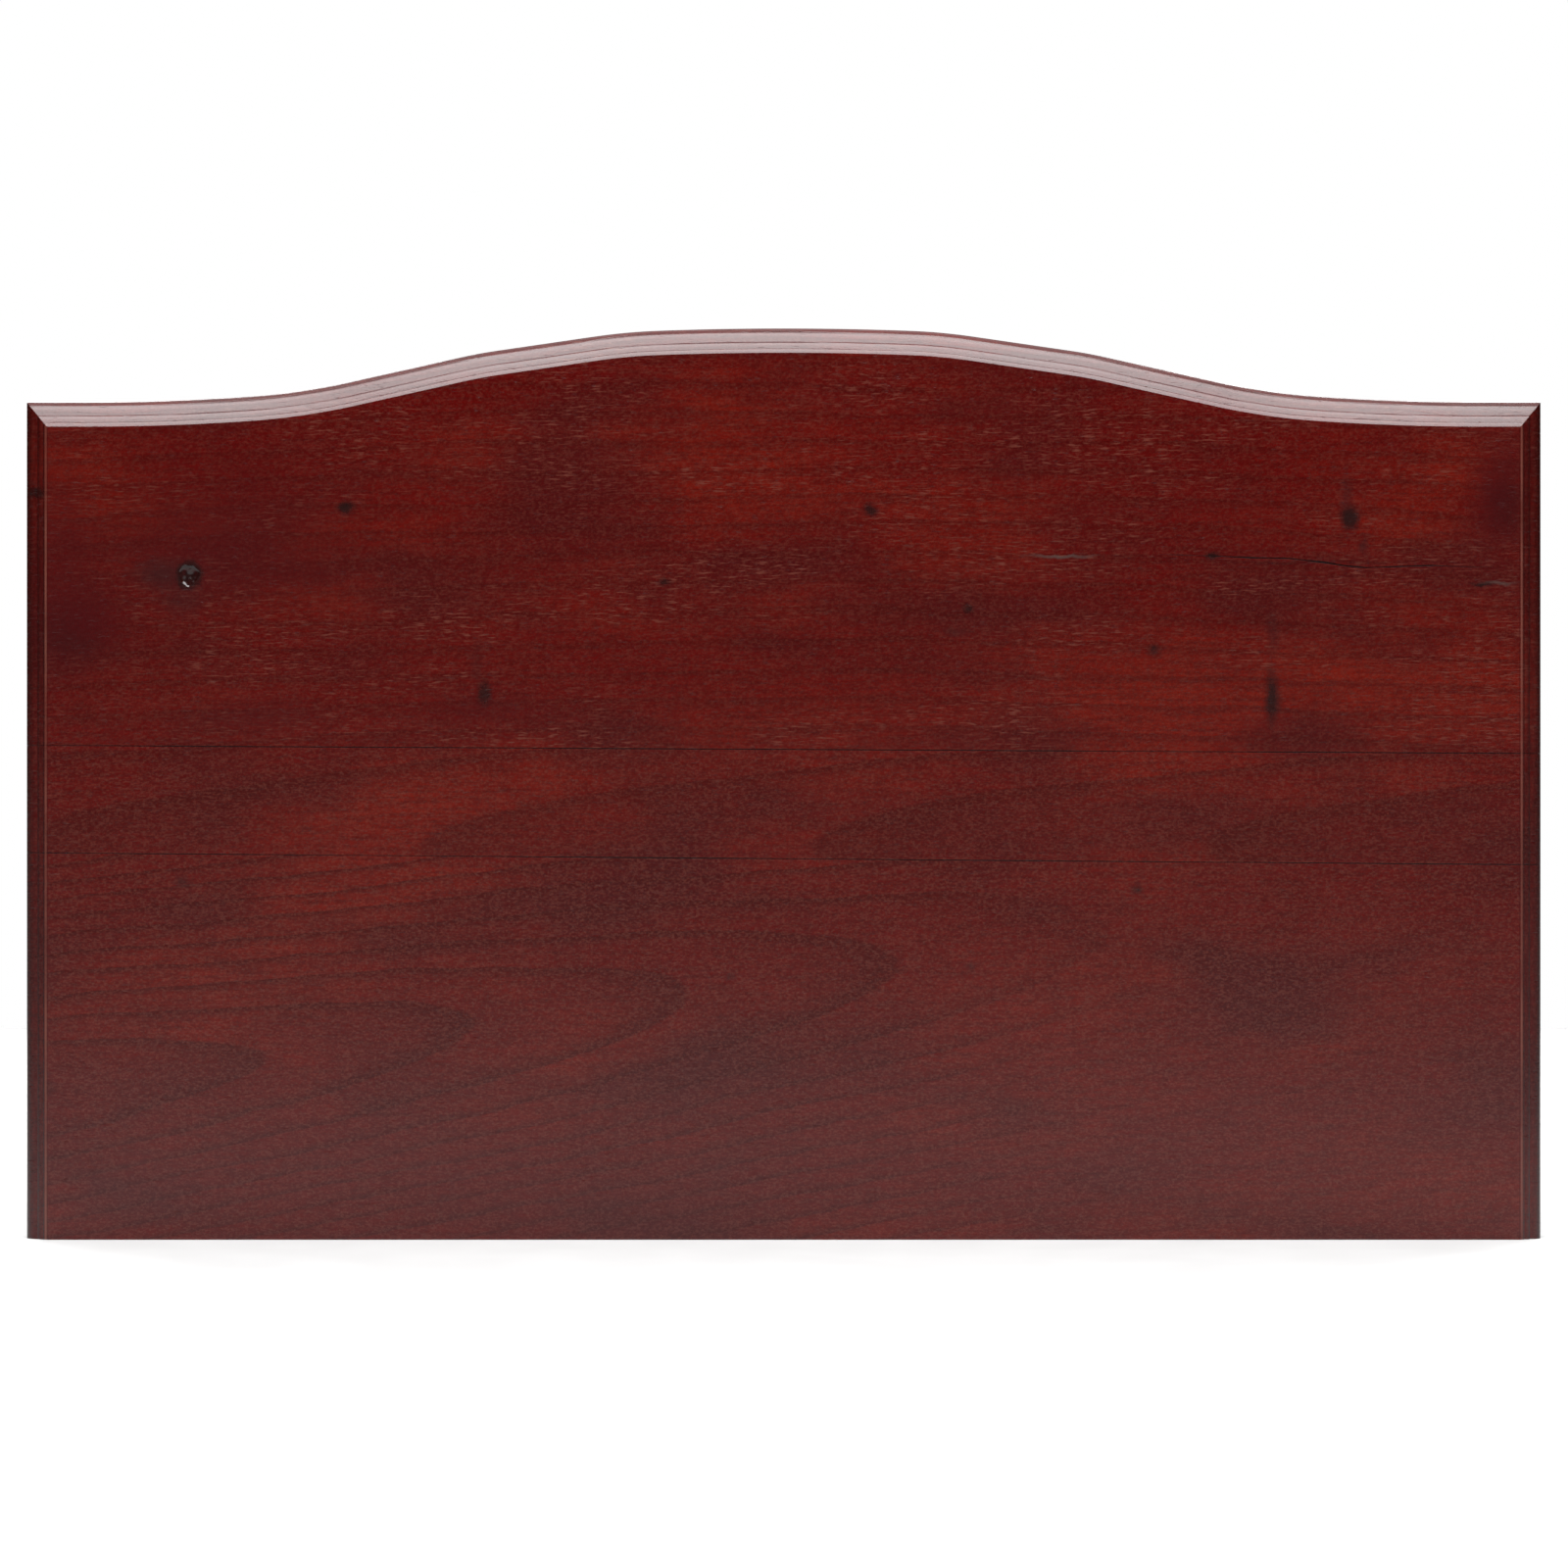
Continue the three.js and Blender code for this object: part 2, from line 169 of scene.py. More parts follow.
class Bench:
    """A node tree under construction, of either kind."""

    def __init__(self, tree: bpy.types.NodeTree) -> None:
        """Starts on an empty tree.

        Args:
            tree: the tree that the nodes go into.
        """
        self.tree = tree
        self.tree.nodes.clear()

    def node(self, kind: str, inputs: Inputs | None = None, **settings: Any) -> bpy.types.Node:
        """Adds a node.

        Args:
            kind: the node's type name.
            inputs: what goes into its sockets, by name or number: a flow, or a plain value.
            settings: the node's own properties.

        Returns:
            The new node.
        """
        made = self.tree.nodes.new(kind)
        for name, value in settings.items():
            setattr(made, name, value)
        for key, value in (inputs or {}).items():
            if isinstance(value, Flow):
                self.tree.links.new(value.socket, made.inputs[key])
            else:
                made.inputs[key].default_value = value
        return made

    def flow(self, kind: str, inputs: Inputs | None = None, out: str | int = 0, **settings: Any) -> Flow:
        """Adds a node and gives one of its outputs.

        Args:
            kind: the node's type name.
            inputs: what goes into its sockets.
            out: the wanted output, by name or number.
            settings: the node's own properties.

        Returns:
            That output.
        """
        return Flow(self, self.node(kind, inputs, **settings).outputs[out])

    def math(self, operation: str, *values: Value) -> Flow:
        """Adds a Math node over one to three values."""
        return self.flow("ShaderNodeMath", dict(enumerate(values)), operation=operation)

    def split(self, vector: Flow) -> tuple[Flow, Flow, Flow]:
        """Gives a vector's three parts."""
        parts = self.node("ShaderNodeSeparateXYZ", {0: vector}).outputs
        return Flow(self, parts[0]), Flow(self, parts[1]), Flow(self, parts[2])

    def join(self, x: Value, y: Value, z: Value) -> Flow:
        """Makes a vector from three parts."""
        return self.flow("ShaderNodeCombineXYZ", {0: x, 1: y, 2: z})

    def ease(self, value: Flow, low: Value, high: Value, start: float = 0.0, end: float = 1.0) -> Flow:
        """Carries a value smoothly from one range to another and holds it at both ends.

        Args:
            value: what is read.
            low: the reading that gives start.
            high: the reading that gives end.
            start: what comes out at and below low.
            end: what comes out at and above high.

        Returns:
            The eased value.
        """
        inputs = {0: value, 1: low, 2: high, 3: start, 4: end}
        return self.flow("ShaderNodeMapRange", inputs, interpolation_type="SMOOTHSTEP", clamp=True)

    def fall(self, value: Flow, low: Value, high: Value) -> Flow:
        """1 up to low, falling smoothly to 0 at high."""
        return self.ease(value, low, high, 1.0, 0.0)

    def band(self, value: Flow, rise: Point, fall: Point) -> Flow:
        """Rises smoothly from 0 to 1 over one range and falls back to 0 over another."""
        return self.ease(value, *rise) * self.fall(value, *fall)


class ShaderBench(Bench):
    """The node tree of one material."""

    def __init__(self, name: str) -> None:
        """Makes an empty material.

        Args:
            name: the material's name.
        """
        self.material = bpy.data.materials.new(name)
        self.material.use_nodes = True
        super().__init__(self.material.node_tree)

    def place(self) -> Flow:
        """The point being shaded, in the piece's own coordinates."""
        return self.flow("ShaderNodeTexCoord", out="Object")

    def facing(self) -> Flow:
        """The direction that the surface faces, in the piece's own coordinates."""
        return self.flow("ShaderNodeTexCoord", out="Normal")

    def noise(self, place: Flow, per_metre: Triple, detail: float = 2.0, rough: float = 0.5) -> Flow:
        """Smooth noise between 0 and 1.

        Args:
            place: where it is read.
            per_metre: how many features it has in a metre along X, Y and Z.
            detail: how many finer layers it has.
            rough: how strong each finer layer is.

        Returns:
            The noise.
        """
        scaled = self.flow("ShaderNodeVectorMath", {0: place, 1: per_metre}, operation="MULTIPLY")
        inputs = {"Vector": scaled, "Scale": 1.0, "Detail": detail, "Roughness": rough}
        return self.flow("ShaderNodeTexNoise", inputs)

    def spot(self, place: Flow, middle: Point, half_size: Point, core: float) -> Flow:
        """A soft oval patch on the front and all that is behind it.

        Args:
            place: where it is read.
            middle: its middle, across and up.
            half_size: half its width and half its height.
            core: how far out it stays at full strength, as a share of its size.

        Returns:
            1 in its middle, falling to 0 at its rim.
        """
        centre = (middle[0], 0.0, middle[1])
        moved = self.flow("ShaderNodeVectorMath", {0: place, 1: centre}, operation="SUBTRACT")
        scale = (1 / half_size[0], 0.0, 1 / half_size[1])
        sized = self.flow("ShaderNodeVectorMath", {0: moved, 1: scale}, operation="MULTIPLY")
        reach = self.flow("ShaderNodeVectorMath", {0: sized}, out="Value", operation="LENGTH")
        return self.fall(reach, core, 1.0)

    def mix(self, share: Value, base: Flow | Colour, over: Flow | Colour) -> Flow:
        """Lays one colour over another.

        Args:
            share: how much of the upper colour shows.
            base: the lower colour, a flow or a plain colour.
            over: the upper colour.

        Returns:
            The mixed colour.
        """
        colours = [c if isinstance(c, Flow) else (*c, 1.0) for c in (base, over)]
        inputs = {0: share, 6: colours[0], 7: colours[1]}
        return self.flow("ShaderNodeMix", inputs, out=2, data_type="RGBA", clamp_factor=True)

    def bump(self, height: Flow, depth: float, under: Flow | None = None) -> Flow:
        """Turns a height into a surface direction.

        Args:
            height: the height, between about 0 and 1.
            depth: how far a height of 1 stands up, in metres.
            under: a bump that this one lies on.

        Returns:
            The surface direction.
        """
        inputs: Inputs = {"Height": height, "Distance": depth, "Strength": 1.0}
        if under is not None:
            inputs["Normal"] = under
        return self.flow("ShaderNodeBump", inputs)

    def finish(
        self, colour: Flow, roughness: Flow, normal: Flow, **fixed: float
    ) -> bpy.types.Material:
        """Closes the tree with its shader.

        Args:
            colour: the base colour.
            roughness: the roughness.
            normal: the surface direction.
            fixed: values that are the same all over, by socket name with underscores.

        Returns:
            The finished material.
        """
        inputs = {"Base Color": colour, "Roughness": roughness, "Normal": normal}
        inputs.update({name.replace("_", " "): value for name, value in fixed.items()})
        shader = self.flow("ShaderNodeBsdfPrincipled", inputs)
        self.node("ShaderNodeOutputMaterial", {"Surface": shader})
        return self.material


class GeometryBench(Bench):
    """A Geometry Nodes tree with named inputs."""

    def __init__(self, name: str) -> None:
        """Makes an empty tree that takes and gives a geometry.

        Args:
            name: the tree's name.
        """
        super().__init__(bpy.data.node_groups.new(name, "GeometryNodeTree"))
        self.source = self.tree.nodes.new("NodeGroupInput")
        self.identifiers: dict[str, str] = {}
        self.geometry = self.take("Geometry", "NodeSocketGeometry")

    def take(self, name: str, kind: str = "NodeSocketFloat") -> Flow:
        """Adds a named input to the tree.

        Args:
            name: the input's name.
            kind: its socket type.

        Returns:
            The input, as a flow.
        """
        item = self.tree.interface.new_socket(name=name, in_out="INPUT", socket_type=kind)
        self.identifiers[name] = item.identifier
        return Flow(self, self.source.outputs[name])

    def give(self, geometry: Flow) -> None:
        """Ends the tree with real geometry in the material that its Finish input names.

        Args:
            geometry: what the tree has made.
        """
        finish = self.take("Finish", "NodeSocketMaterial")
        real = self.flow("GeometryNodeRealizeInstances", {"Geometry": geometry})
        dressed = self.flow("GeometryNodeSetMaterial", {"Geometry": real, "Material": finish})
        sockets = self.tree.interface
        sockets.new_socket(name="Geometry", in_out="OUTPUT", socket_type="NodeSocketGeometry")
        self.node("NodeGroupOutput", {"Geometry": dressed})

    def run(self, piece: bpy.types.Object, **values: Any) -> bpy.types.Object:
        """Runs the tree on a piece and leaves the result as its plain mesh.

        Args:
            piece: the object whose mesh is the tree's input geometry.
            values: the other inputs, by name with underscores for spaces.

        Returns:
            The same object.
        """
        modifier = piece.modifiers.new("shape", "NODES")
        modifier.node_group = self.tree
        for name, value in values.items():
            modifier[self.identifiers[name.replace("_", " ")]] = value
        return settle(piece)


# ---- Meshes ----


def new_piece(name: str, mesh: bmesh.types.BMesh) -> bpy.types.Object:
    """Makes an object of a mesh that is already in its place.

    Args:
        name: the object's name.
        mesh: its mesh, which is used up.

    Returns:
        The linked object.
    """
    data = bpy.data.meshes.new(name)
    mesh.to_mesh(data)
    mesh.free()
    piece = bpy.data.objects.new(name, data)
    bpy.context.scene.collection.objects.link(piece)
    return piece


def settle(piece: bpy.types.Object) -> bpy.types.Object:
    """Turns a piece and its modifiers into a plain mesh with its faces outwards.

    Args:
        piece: the piece.

    Returns:
        The same piece.
    """
    graph = bpy.context.evaluated_depsgraph_get()
    data = bpy.data.meshes.new_from_object(
        piece.evaluated_get(graph), preserve_all_data_layers=True, depsgraph=graph
    )
    old = piece.data
    piece.modifiers.clear()
    piece.data = data
    bpy.data.meshes.remove(old)
    data.name = piece.name
    mesh = bmesh.new()
    mesh.from_mesh(data)
    bmesh.ops.recalc_face_normals(mesh, faces=mesh.faces)
    mesh.to_mesh(data)
    mesh.free()
    return piece


def carve(piece: bpy.types.Object, cutter: bpy.types.Object) -> None:
    """Takes a cutter's shape out of a piece and throws the cutter away.

    Args:
        piece: what is cut.
        cutter: a closed mesh, whose own materials line the cut.
    """
    modifier = piece.modifiers.new("cut", "BOOLEAN")
    modifier.operation = "DIFFERENCE"
    modifier.solver = "EXACT"
    modifier.material_mode = "TRANSFER"
    modifier.object = cutter
    settle(piece)
    bpy.data.objects.remove(cutter)


def shade(piece: bpy.types.Object, degrees: float) -> None:
    """Smooths a piece except at sharp edges and on faces square to Y.

    Args:
        piece: the piece.
        degrees: the turn at an edge above which it stays sharp.
    """
    piece.data.set_sharp_from_angle(angle=math.radians(degrees))
    for polygon in piece.data.polygons:
        polygon.use_smooth = abs(polygon.normal.y) < SQUARE_TO_Y


def loft(mesh: bmesh.types.BMesh, loops: Sequence[Sequence[Vector]]) -> None:
    """Adds a closed skin through loops of points, capped at its first and last.

    Args:
        mesh: where it goes.
        loops: loops that all have the same number of points.
    """
    rings = [[mesh.verts.new(point) for point in loop] for loop in loops]
    for here, there in zip(rings, rings[1:]):
        for i in range(len(here)):
            j = (i + 1) % len(here)
            mesh.faces.new((here[i], here[j], there[j], there[i]))
    mesh.faces.new(rings[0][::-1])
    mesh.faces.new(rings[-1])


def plate(mesh: bmesh.types.BMesh, outline: Sequence[Point], low: float, high: float) -> None:
    """Adds an outline drawn in X and Z as a plate between two depths.

    Args:
        mesh: where it goes.
        outline: its corners in order.
        low: the Y of one side.
        high: the Y of the other.
    """
    loft(mesh, [[Vector((x, y, z)) for x, z in outline] for y in (low, high)])


def rod(mesh: bmesh.types.BMesh, middle: Vector, axis: str, radius: float, length: float) -> None:
    """Adds a plain rod, for cutting a bore.

    Args:
        mesh: where it goes.
        middle: its middle.
        axis: "Y" or "Z", the way it runs.
        radius: its radius.
        length: its length.
    """
    tilt = Matrix.Rotation(math.radians(90 if axis == "Y" else 0), 4, "X")
    bmesh.ops.create_cone(
        mesh,
        cap_ends=True,
        segments=BORE_SIDES,
        radius1=radius,
        radius2=radius,
        depth=length,
        matrix=Matrix.Translation(middle) @ tilt,
    )


def tidy_normals(mesh: bmesh.types.BMesh) -> bmesh.types.BMesh:
    """Turns every face of a closed mesh outwards."""
    bmesh.ops.recalc_face_normals(mesh, faces=mesh.faces)
    return mesh


def enter(piece: bpy.types.Object, body: Body, slot: Slot, *nodes: str) -> None:
    """Puts a finished piece in the model.

    Args:
        piece: the piece.
        body: the body that it moves with.
        slot: the material slot that it is finished from; not used.
        nodes: the CAD nodes that it stands for.
    """
    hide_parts(*nodes)
    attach(piece, body.value)
    log.info("%s rides on %s: %d faces", piece.name, body.value, len(piece.data.polygons))


# ---- Outlines ----


def evenly(low: Point, high: Point, steps: int) -> list[Point]:
    """Points along a straight stretch, without its last.

    Args:
        low: where it starts.
        high: where it ends.
        steps: how many points it has.

    Returns:
        Its points.
    """
    return [
        (low[0] + (high[0] - low[0]) * i / steps, low[1] + (high[1] - low[1]) * i / steps)
        for i in range(steps)
    ]


def arc(middle: Point, radius: float, start: float, turn: float, steps: int) -> list[Point]:
    """Points round part of a circle, with both its ends.

    Args:
        middle: the circle's middle.
        radius: its radius.
        start: the direction of the first point from the middle, in degrees.
        turn: how far it turns, in degrees.
        steps: how many flats it has.

    Returns:
        Its points.
    """
    angles = [math.radians(start + turn * i / steps) for i in range(steps + 1)]
    return [
        (middle[0] + radius * math.cos(angle), middle[1] + radius * math.sin(angle)) for angle in angles
    ]


def quarter_round(radius: float, top: float, round_x: float, round_y: float, steps: int) -> list[Point]:
    """The rounded shoulder of a profile, from its side to its top.

    Args:
        radius: the radius of the side.
        top: the height of the top.
        round_x: how far the round reaches inwards.
        round_y: how far it reaches down.
        steps: how many flats it has.

    Returns:
        Its points.
    """
    points = []
    for i in range(steps + 1):
        angle = math.pi / 2 * i / steps
        inwards = round_x * (1 - math.cos(angle))
        points.append((radius - inwards, top - round_y * (1 - math.sin(angle))))
    return points


def along_path(path: Sequence[Point], share: float) -> Point:
    """A point on a path of straight stretches.

    Args:
        path: its corners, in order of x.
        share: how far along in x, from 0 to 1.

    Returns:
        The point.
    """
    x = path[0][0] + (path[-1][0] - path[0][0]) * share
    for (x0, z0), (x1, z1) in zip(path, path[1:]):
        if x <= x1:
            return x, z0 + (z1 - z0) * (x - x0) / (x1 - x0)
    return path[-1]


# ---- Finishes ----


class Tint(Enum):
    """What a mark on the wood is made of."""

    CHAR = "char"
    SMOKE = "smoke"
    PLUM = "plum"
    EMBER = "ember"
    FILLER = "filler"


@dataclass(frozen=True)
class Mark:
    """A knot, stain, filled streak or painted shadow along a crack: its middle and half sizes in
    millimetres, and its strength.
    """

    tint: Tint
    x: float
    z: float
    across: float
    tall: float
    strength: float = 1.0
    core: float = 0.0


@dataclass(frozen=True)
class Grain:
    """How a board lies in its log.

    The heart of the log runs beside the board: heart_height up the panel and heart_depth behind the
    face at the panel's middle, and both change along the board by their drifts. A board from the
    outside of the log has a large heart_depth and shows nearly straight lines.
    """

    heart_height: float
    height_drift: float
    heart_depth: float
    depth_drift: float
    ring_width: float
    ring_strength: float
    bow: float
    fade: float
    flecks: float
    cloudiness: float
    marks: tuple[Mark, ...] = ()


@dataclass(frozen=True)
class Joint:
    """A glued joint that falls a little towards +X."""

    height: float
    slant: float

    def at(self, x: float) -> float:
        """The joint's height at a distance from the middle."""
        return self.height - x * math.tan(self.slant)

    def off(self, x: Flow, z: Flow) -> Flow:
        """How far above or below the joint a shaded point is."""
        return (z + x * math.tan(self.slant) - self.height).size()


@dataclass(frozen=True)
class Patterns:
    """The patterns that a board's colour, gloss and relief have in common."""

    wander: Flow
    tone: Flow
    cloud: Flow
    fibre: Flow
    mottle: Flow
    pore: Flow

    @classmethod
    def over(cls, bench: ShaderBench, place: Flow) -> "Patterns":
        """Lays the patterns over a board.

        Args:
            bench: the tree of its material.
            place: where they are read.

        Returns:
            The patterns.
        """
        x, y, z = bench.split(place)
        return cls(
            wander=bench.noise(place, (9.0, 25.0, 26.0), 3.0, 0.55) - 0.5,
            tone=bench.noise(place, (4.5, 10.0, 12.0), 4.0, 0.6),
            cloud=bench.noise(bench.join(z, x, y), (21.0, 8.0, 11.0), 3.0, 0.55),
            fibre=bench.noise(place, (34.0, 300.0, 640.0), 3.0, 0.6),
            mottle=bench.noise(place, (330.0, 330.0, 460.0), 2.0, 0.6),
            pore=bench.ease(bench.noise(bench.join(z, y, x), (1300.0, 400.0, 210.0), 1.0), 0.63, 0.74),
        )


@dataclass(frozen=True)
class StainedWood:
    """A tropical hardwood under red mahogany stain and a satin varnish.

    The pairs of distances are where a line along the moulding's ends rises and where it falls,
    measured in from the end of the board: the painted highlight along the inner arris, and the painted
    shade in the groove at its foot.
    """

    heart: Colour = (0.060, 0.0006, 0.0004)
    late: Colour = (0.028, 0.0004, 0.0003)
    ember: Colour = (0.094, 0.0034, 0.0008)
    plum: Colour = (0.034, 0.0012, 0.0016)
    end_grain: Colour = (0.018, 0.0022, 0.0016)
    char: Colour = (0.008, 0.0024, 0.0022)
    smoke: Colour = (0.020, 0.0045, 0.0045)
    filler: Colour = (0.050, 0.0330, 0.0290)
    fleck: Colour = (0.085, 0.0200, 0.0140)
    haze: Colour = (0.105, 0.0280, 0.0190)
    # colour of the painted highlight along the inner arris of the moulded ends
    arris_highlight: Colour = (0.130, 0.0420, 0.0300)
    drift: float = 11 * MM
    jitter: float = 1.2 * MM
    ragged_across: float = 4 * MM
    ragged_up: float = 3 * MM
    seam_edge: Point = (0.12 * MM, 0.36 * MM)
    layer: float = 1.3 * MM
    front_depth: Point = (4.0 * MM, 6.0 * MM)
    # where the painted highlight along the inner arris rises and falls
    highlight_rise: Point = (7.7 * MM, 8.4 * MM)
    highlight_fall: Point = (8.6 * MM, 9.1 * MM)
    # where the painted shade in the small groove at the arris's foot rises and falls
    foot_rise: Point = (9.0 * MM, 9.2 * MM)
    foot_fall: Point = (9.3 * MM, 9.6 * MM)
    below_corner: Point = (9.6 * MM, 9.0 * MM)

    def _rings(self, bench: ShaderBench, place: Flow, grain: Grain) -> Flow:
        """The late wood of the growth rings where the board cuts them.

        Args:
            bench: the tree.
            place: where it is read, already unsettled a little.
            grain: how the board lies in its log.

        Returns:
            0 in early wood, rising to 1 at the end of each year's growth.
        """
        x, y, z = bench.split(place)
        off_axis = z - (x * grain.height_drift + grain.heart_height) + x * x * grain.bow
        depth = x * grain.depth_drift + grain.heart_depth - y
        radius = (off_axis * off_axis + depth * depth).power(0.5)
        year = (radius / grain.ring_width).fraction()
        sharp = bench.ease(year, 0.35, 0.93) * 0.35 + bench.ease(year, 0.66, 0.93) * 0.65
        return sharp * bench.fall(year, 0.95, 1.0) * bench.ease(x, 0.0, 0.16, 1.0, grain.fade)

    def _ground(self, bench: ShaderBench, place: Flow, patterns: Patterns, late: Flow) -> Flow:
        """The stained wood without its pores and faults.

        Args:
            bench: the tree.
            place: where it is read.
            patterns: the board's patterns.
            late: how much late wood there is.

        Returns:
            The colour.
        """
        colour = bench.mix(bench.ease(patterns.tone, 0.44, 0.68), self.heart, self.ember)
        colour = bench.mix(bench.ease(patterns.cloud, 0.46, 0.68) * 0.9, colour, self.plum)
        colour = bench.mix(late, colour, self.late)
        speckle = bench.noise(place, (1300.0, 1300.0, 1700.0), 2.0, 0.7)
        grainy = bench.ease(patterns.fibre, 0.38, 0.66) * 0.34
        grainy = grainy + bench.ease(patterns.mottle, 0.4, 0.62) * 0.22
        return bench.mix(grainy + bench.ease(speckle, 0.42, 0.6) * 0.2, colour, self.late)

    def _pored(self, bench: ShaderBench, place: Flow, pore: Flow, grain: Grain, colour: Flow) -> Flow:
        """Lays pale flecks, dark pores and the varnish's haze on a colour.

        Args:
            bench: the tree.
            place: where they are read.
            pore: where the pores are.
            grain: how many flecks and how much haze the board has.
            colour: the colour under them.

        Returns:
            The colour with all three.
        """
        dash = bench.ease(bench.noise(place, (170.0, 300.0, 1300.0), 1.0), 0.54, 0.72)
        crowd = bench.ease(bench.noise(place, (16.0, 30.0, 60.0), 2.0), 0.42, 0.66)
        colour = bench.mix(dash * crowd * grain.flecks, colour, self.fleck)
        colour = bench.mix(pore * 0.45, colour, self.late)
        haze = bench.ease(bench.noise(place, (820.0, 1150.0, 1300.0), 2.0, 0.7), 0.40, 0.72)
        return bench.mix(haze * grain.cloudiness, colour, self.haze)

    def _marked(self, bench: ShaderBench, place: Flow, marks: Iterable[Mark], colour: Flow) -> Flow:
        """Lays the marks on a colour, with ragged rims.

        Args:
            bench: the tree.
            place: where they are read.
            marks: the marks, in millimetres.
            colour: the colour under them.

        Returns:
            The marked colour.
        """
        x, y, z = bench.split(place)
        ragged_x = bench.noise(place, (170.0, 170.0, 170.0), 2.0) - 0.5
        ragged_z = bench.noise(bench.join(y, z, x), (150.0, 190.0, 190.0), 2.0) - 0.5
        ragged = bench.join(x + ragged_x * self.ragged_across, y, z + ragged_z * self.ragged_up)
        tints = {tint: getattr(self, tint.value) for tint in Tint}
        for mark in marks:
            middle = (mark.x * MM, mark.z * MM)
            share = bench.spot(ragged, middle, (mark.across * MM, mark.tall * MM), mark.core)
            colour = bench.mix(share * mark.strength, colour, tints[mark.tint])
        return colour

    def _arris_light_and_shade(self, bench: ShaderBench, place: Flow, corner: Vector, colour: Flow) -> Flow:
        """Lays a painted highlight along the inner arris of the moulded ends on a colour, with a line of
        painted shade for the groove at its foot.

        Args:
            bench: the tree.
            place: where it is read.
            corner: the upper right corner of the panel's face.
            colour: the colour under it.

        Returns:
            The colour with the painted highlight and the painted shade.
        """
        x, y, z = bench.split(place)
        low, high = (corner.z - distance for distance in self.below_corner)
        on_front = bench.fall(y - corner.y, *self.front_depth) * bench.fall(z, low, high)
        from_end = corner.x - x.size()
        # painted highlight along the inner arris, varied in strength by noise
        highlight_line = bench.band(from_end, self.highlight_rise, self.highlight_fall)
        highlight_strength = bench.ease(bench.noise(place, (40.0, 40.0, 40.0), 2.0), 0.3, 0.7, 0.35, 0.8)
        colour = bench.mix(highlight_line * highlight_strength * on_front, colour, self.arris_highlight)
        # painted shade for the small groove at the foot of the arris
        foot = bench.band(from_end, self.foot_rise, self.foot_fall)
        return bench.mix(foot * on_front * 0.55, colour, self.late)

    def make(self, name: str, grain: Grain, joints: Iterable[Joint], corner: Vector) -> bpy.types.Material:
        """Builds the material of one board.

        Args:
            name: the material's name.
            grain: how the board lies in its log, and what marks it has.
            joints: the glued joints, along which stain and dust have settled.
            corner: the upper right corner of the panel's face, from which the painted highlight and
                painted shade
            along the moulded ends and the growth layers in the moulding are measured.

        Returns:
            The material.
        """
        bench = ShaderBench(name)
        place = bench.place()
        x, y, z = bench.split(place)
        patterns = Patterns.over(bench, place)
        shaken = bench.noise(place, (60.0, 160.0, 420.0), 2.0) - 0.5
        drifted = bench.join(x, y, z + patterns.wander * self.drift + shaken * self.jitter)
        late = self._rings(bench, drifted, grain) * grain.ring_strength
        colour = self._ground(bench, place, patterns, late)
        colour = self._pored(bench, place, patterns.pore, grain, colour)
        colour = self._marked(bench, place, grain.marks, colour)
        settled = bench.ease(patterns.cloud, 0.3, 0.6, 0.45, 0.85)
        for joint in joints:
            seam = bench.fall(joint.off(x, z), *self.seam_edge) * settled
            colour = bench.mix(seam, colour, self.char)
        across_grain = bench.split(bench.facing())[0].size()
        colour = bench.mix(bench.ease(across_grain, 0.20, 0.92), colour, self.end_grain)
        cut_depth = y - corner.y
        layer = (cut_depth / self.layer + patterns.wander * 4.0).fraction()
        cut = bench.band(layer, (0.3, 0.9), (0.92, 1.0)) * bench.ease(cut_depth, 0.2 * MM, 1.0 * MM)
        colour = bench.mix(cut * 0.4, colour, self.late)
        # painted highlight and painted shade along the moulded ends
        colour = self._arris_light_and_shade(bench, place, corner, colour)

        roughness = bench.ease(patterns.tone, 0.2, 0.8, 0.16, 0.19) + patterns.mottle * 0.02
        peel = bench.noise(place, (520.0, 520.0, 640.0), 1.0, 0.5)
        relief = bench.bump(peel * 0.8 + patterns.fibre * 0.2, 0.03 * MM)
        relief = bench.bump(1.0 - (patterns.pore + cut * 0.9), 0.02 * MM, relief)
        return bench.finish(colour, roughness, relief, Specular_IOR_Level=0.36)


@dataclass(frozen=True)
class RawBeech:
    """Pale beech as it leaves the dowel mill, dark with glue where it crosses its joint."""

    wood: Colour = (0.62, 0.40, 0.21)
    ray: Colour = (0.36, 0.19, 0.08)
    glue: Colour = (0.020, 0.006, 0.004)

    def make(self, name: str, joint: Joint) -> bpy.types.Material:
        """Builds the material: straight grain along Z with short dark rays.

        Args:
            name: the material's name.
            joint: the joint that the dowels cross.

        Returns:
            The material.
        """
        bench = ShaderBench(name)
        place = bench.place()
        x, _, z = bench.split(place)
        fibre = bench.noise(place, (900.0, 900.0, 60.0), 3.0, 0.6)
        ray = bench.ease(bench.noise(place, (1800.0, 1800.0, 500.0), 1.0), 0.6, 0.7)
        colour = bench.mix(bench.ease(fibre, 0.3, 0.75) * 0.5 + ray * 0.5, self.wood, self.ray)
        colour = bench.mix(bench.fall(joint.off(x, z), 0.4 * MM, 1.6 * MM), colour, self.glue)
        roughness = bench.ease(fibre, 0.2, 0.8, 0.6, 0.85)
        return bench.finish(colour, roughness, bench.bump(fibre, 0.08 * MM))


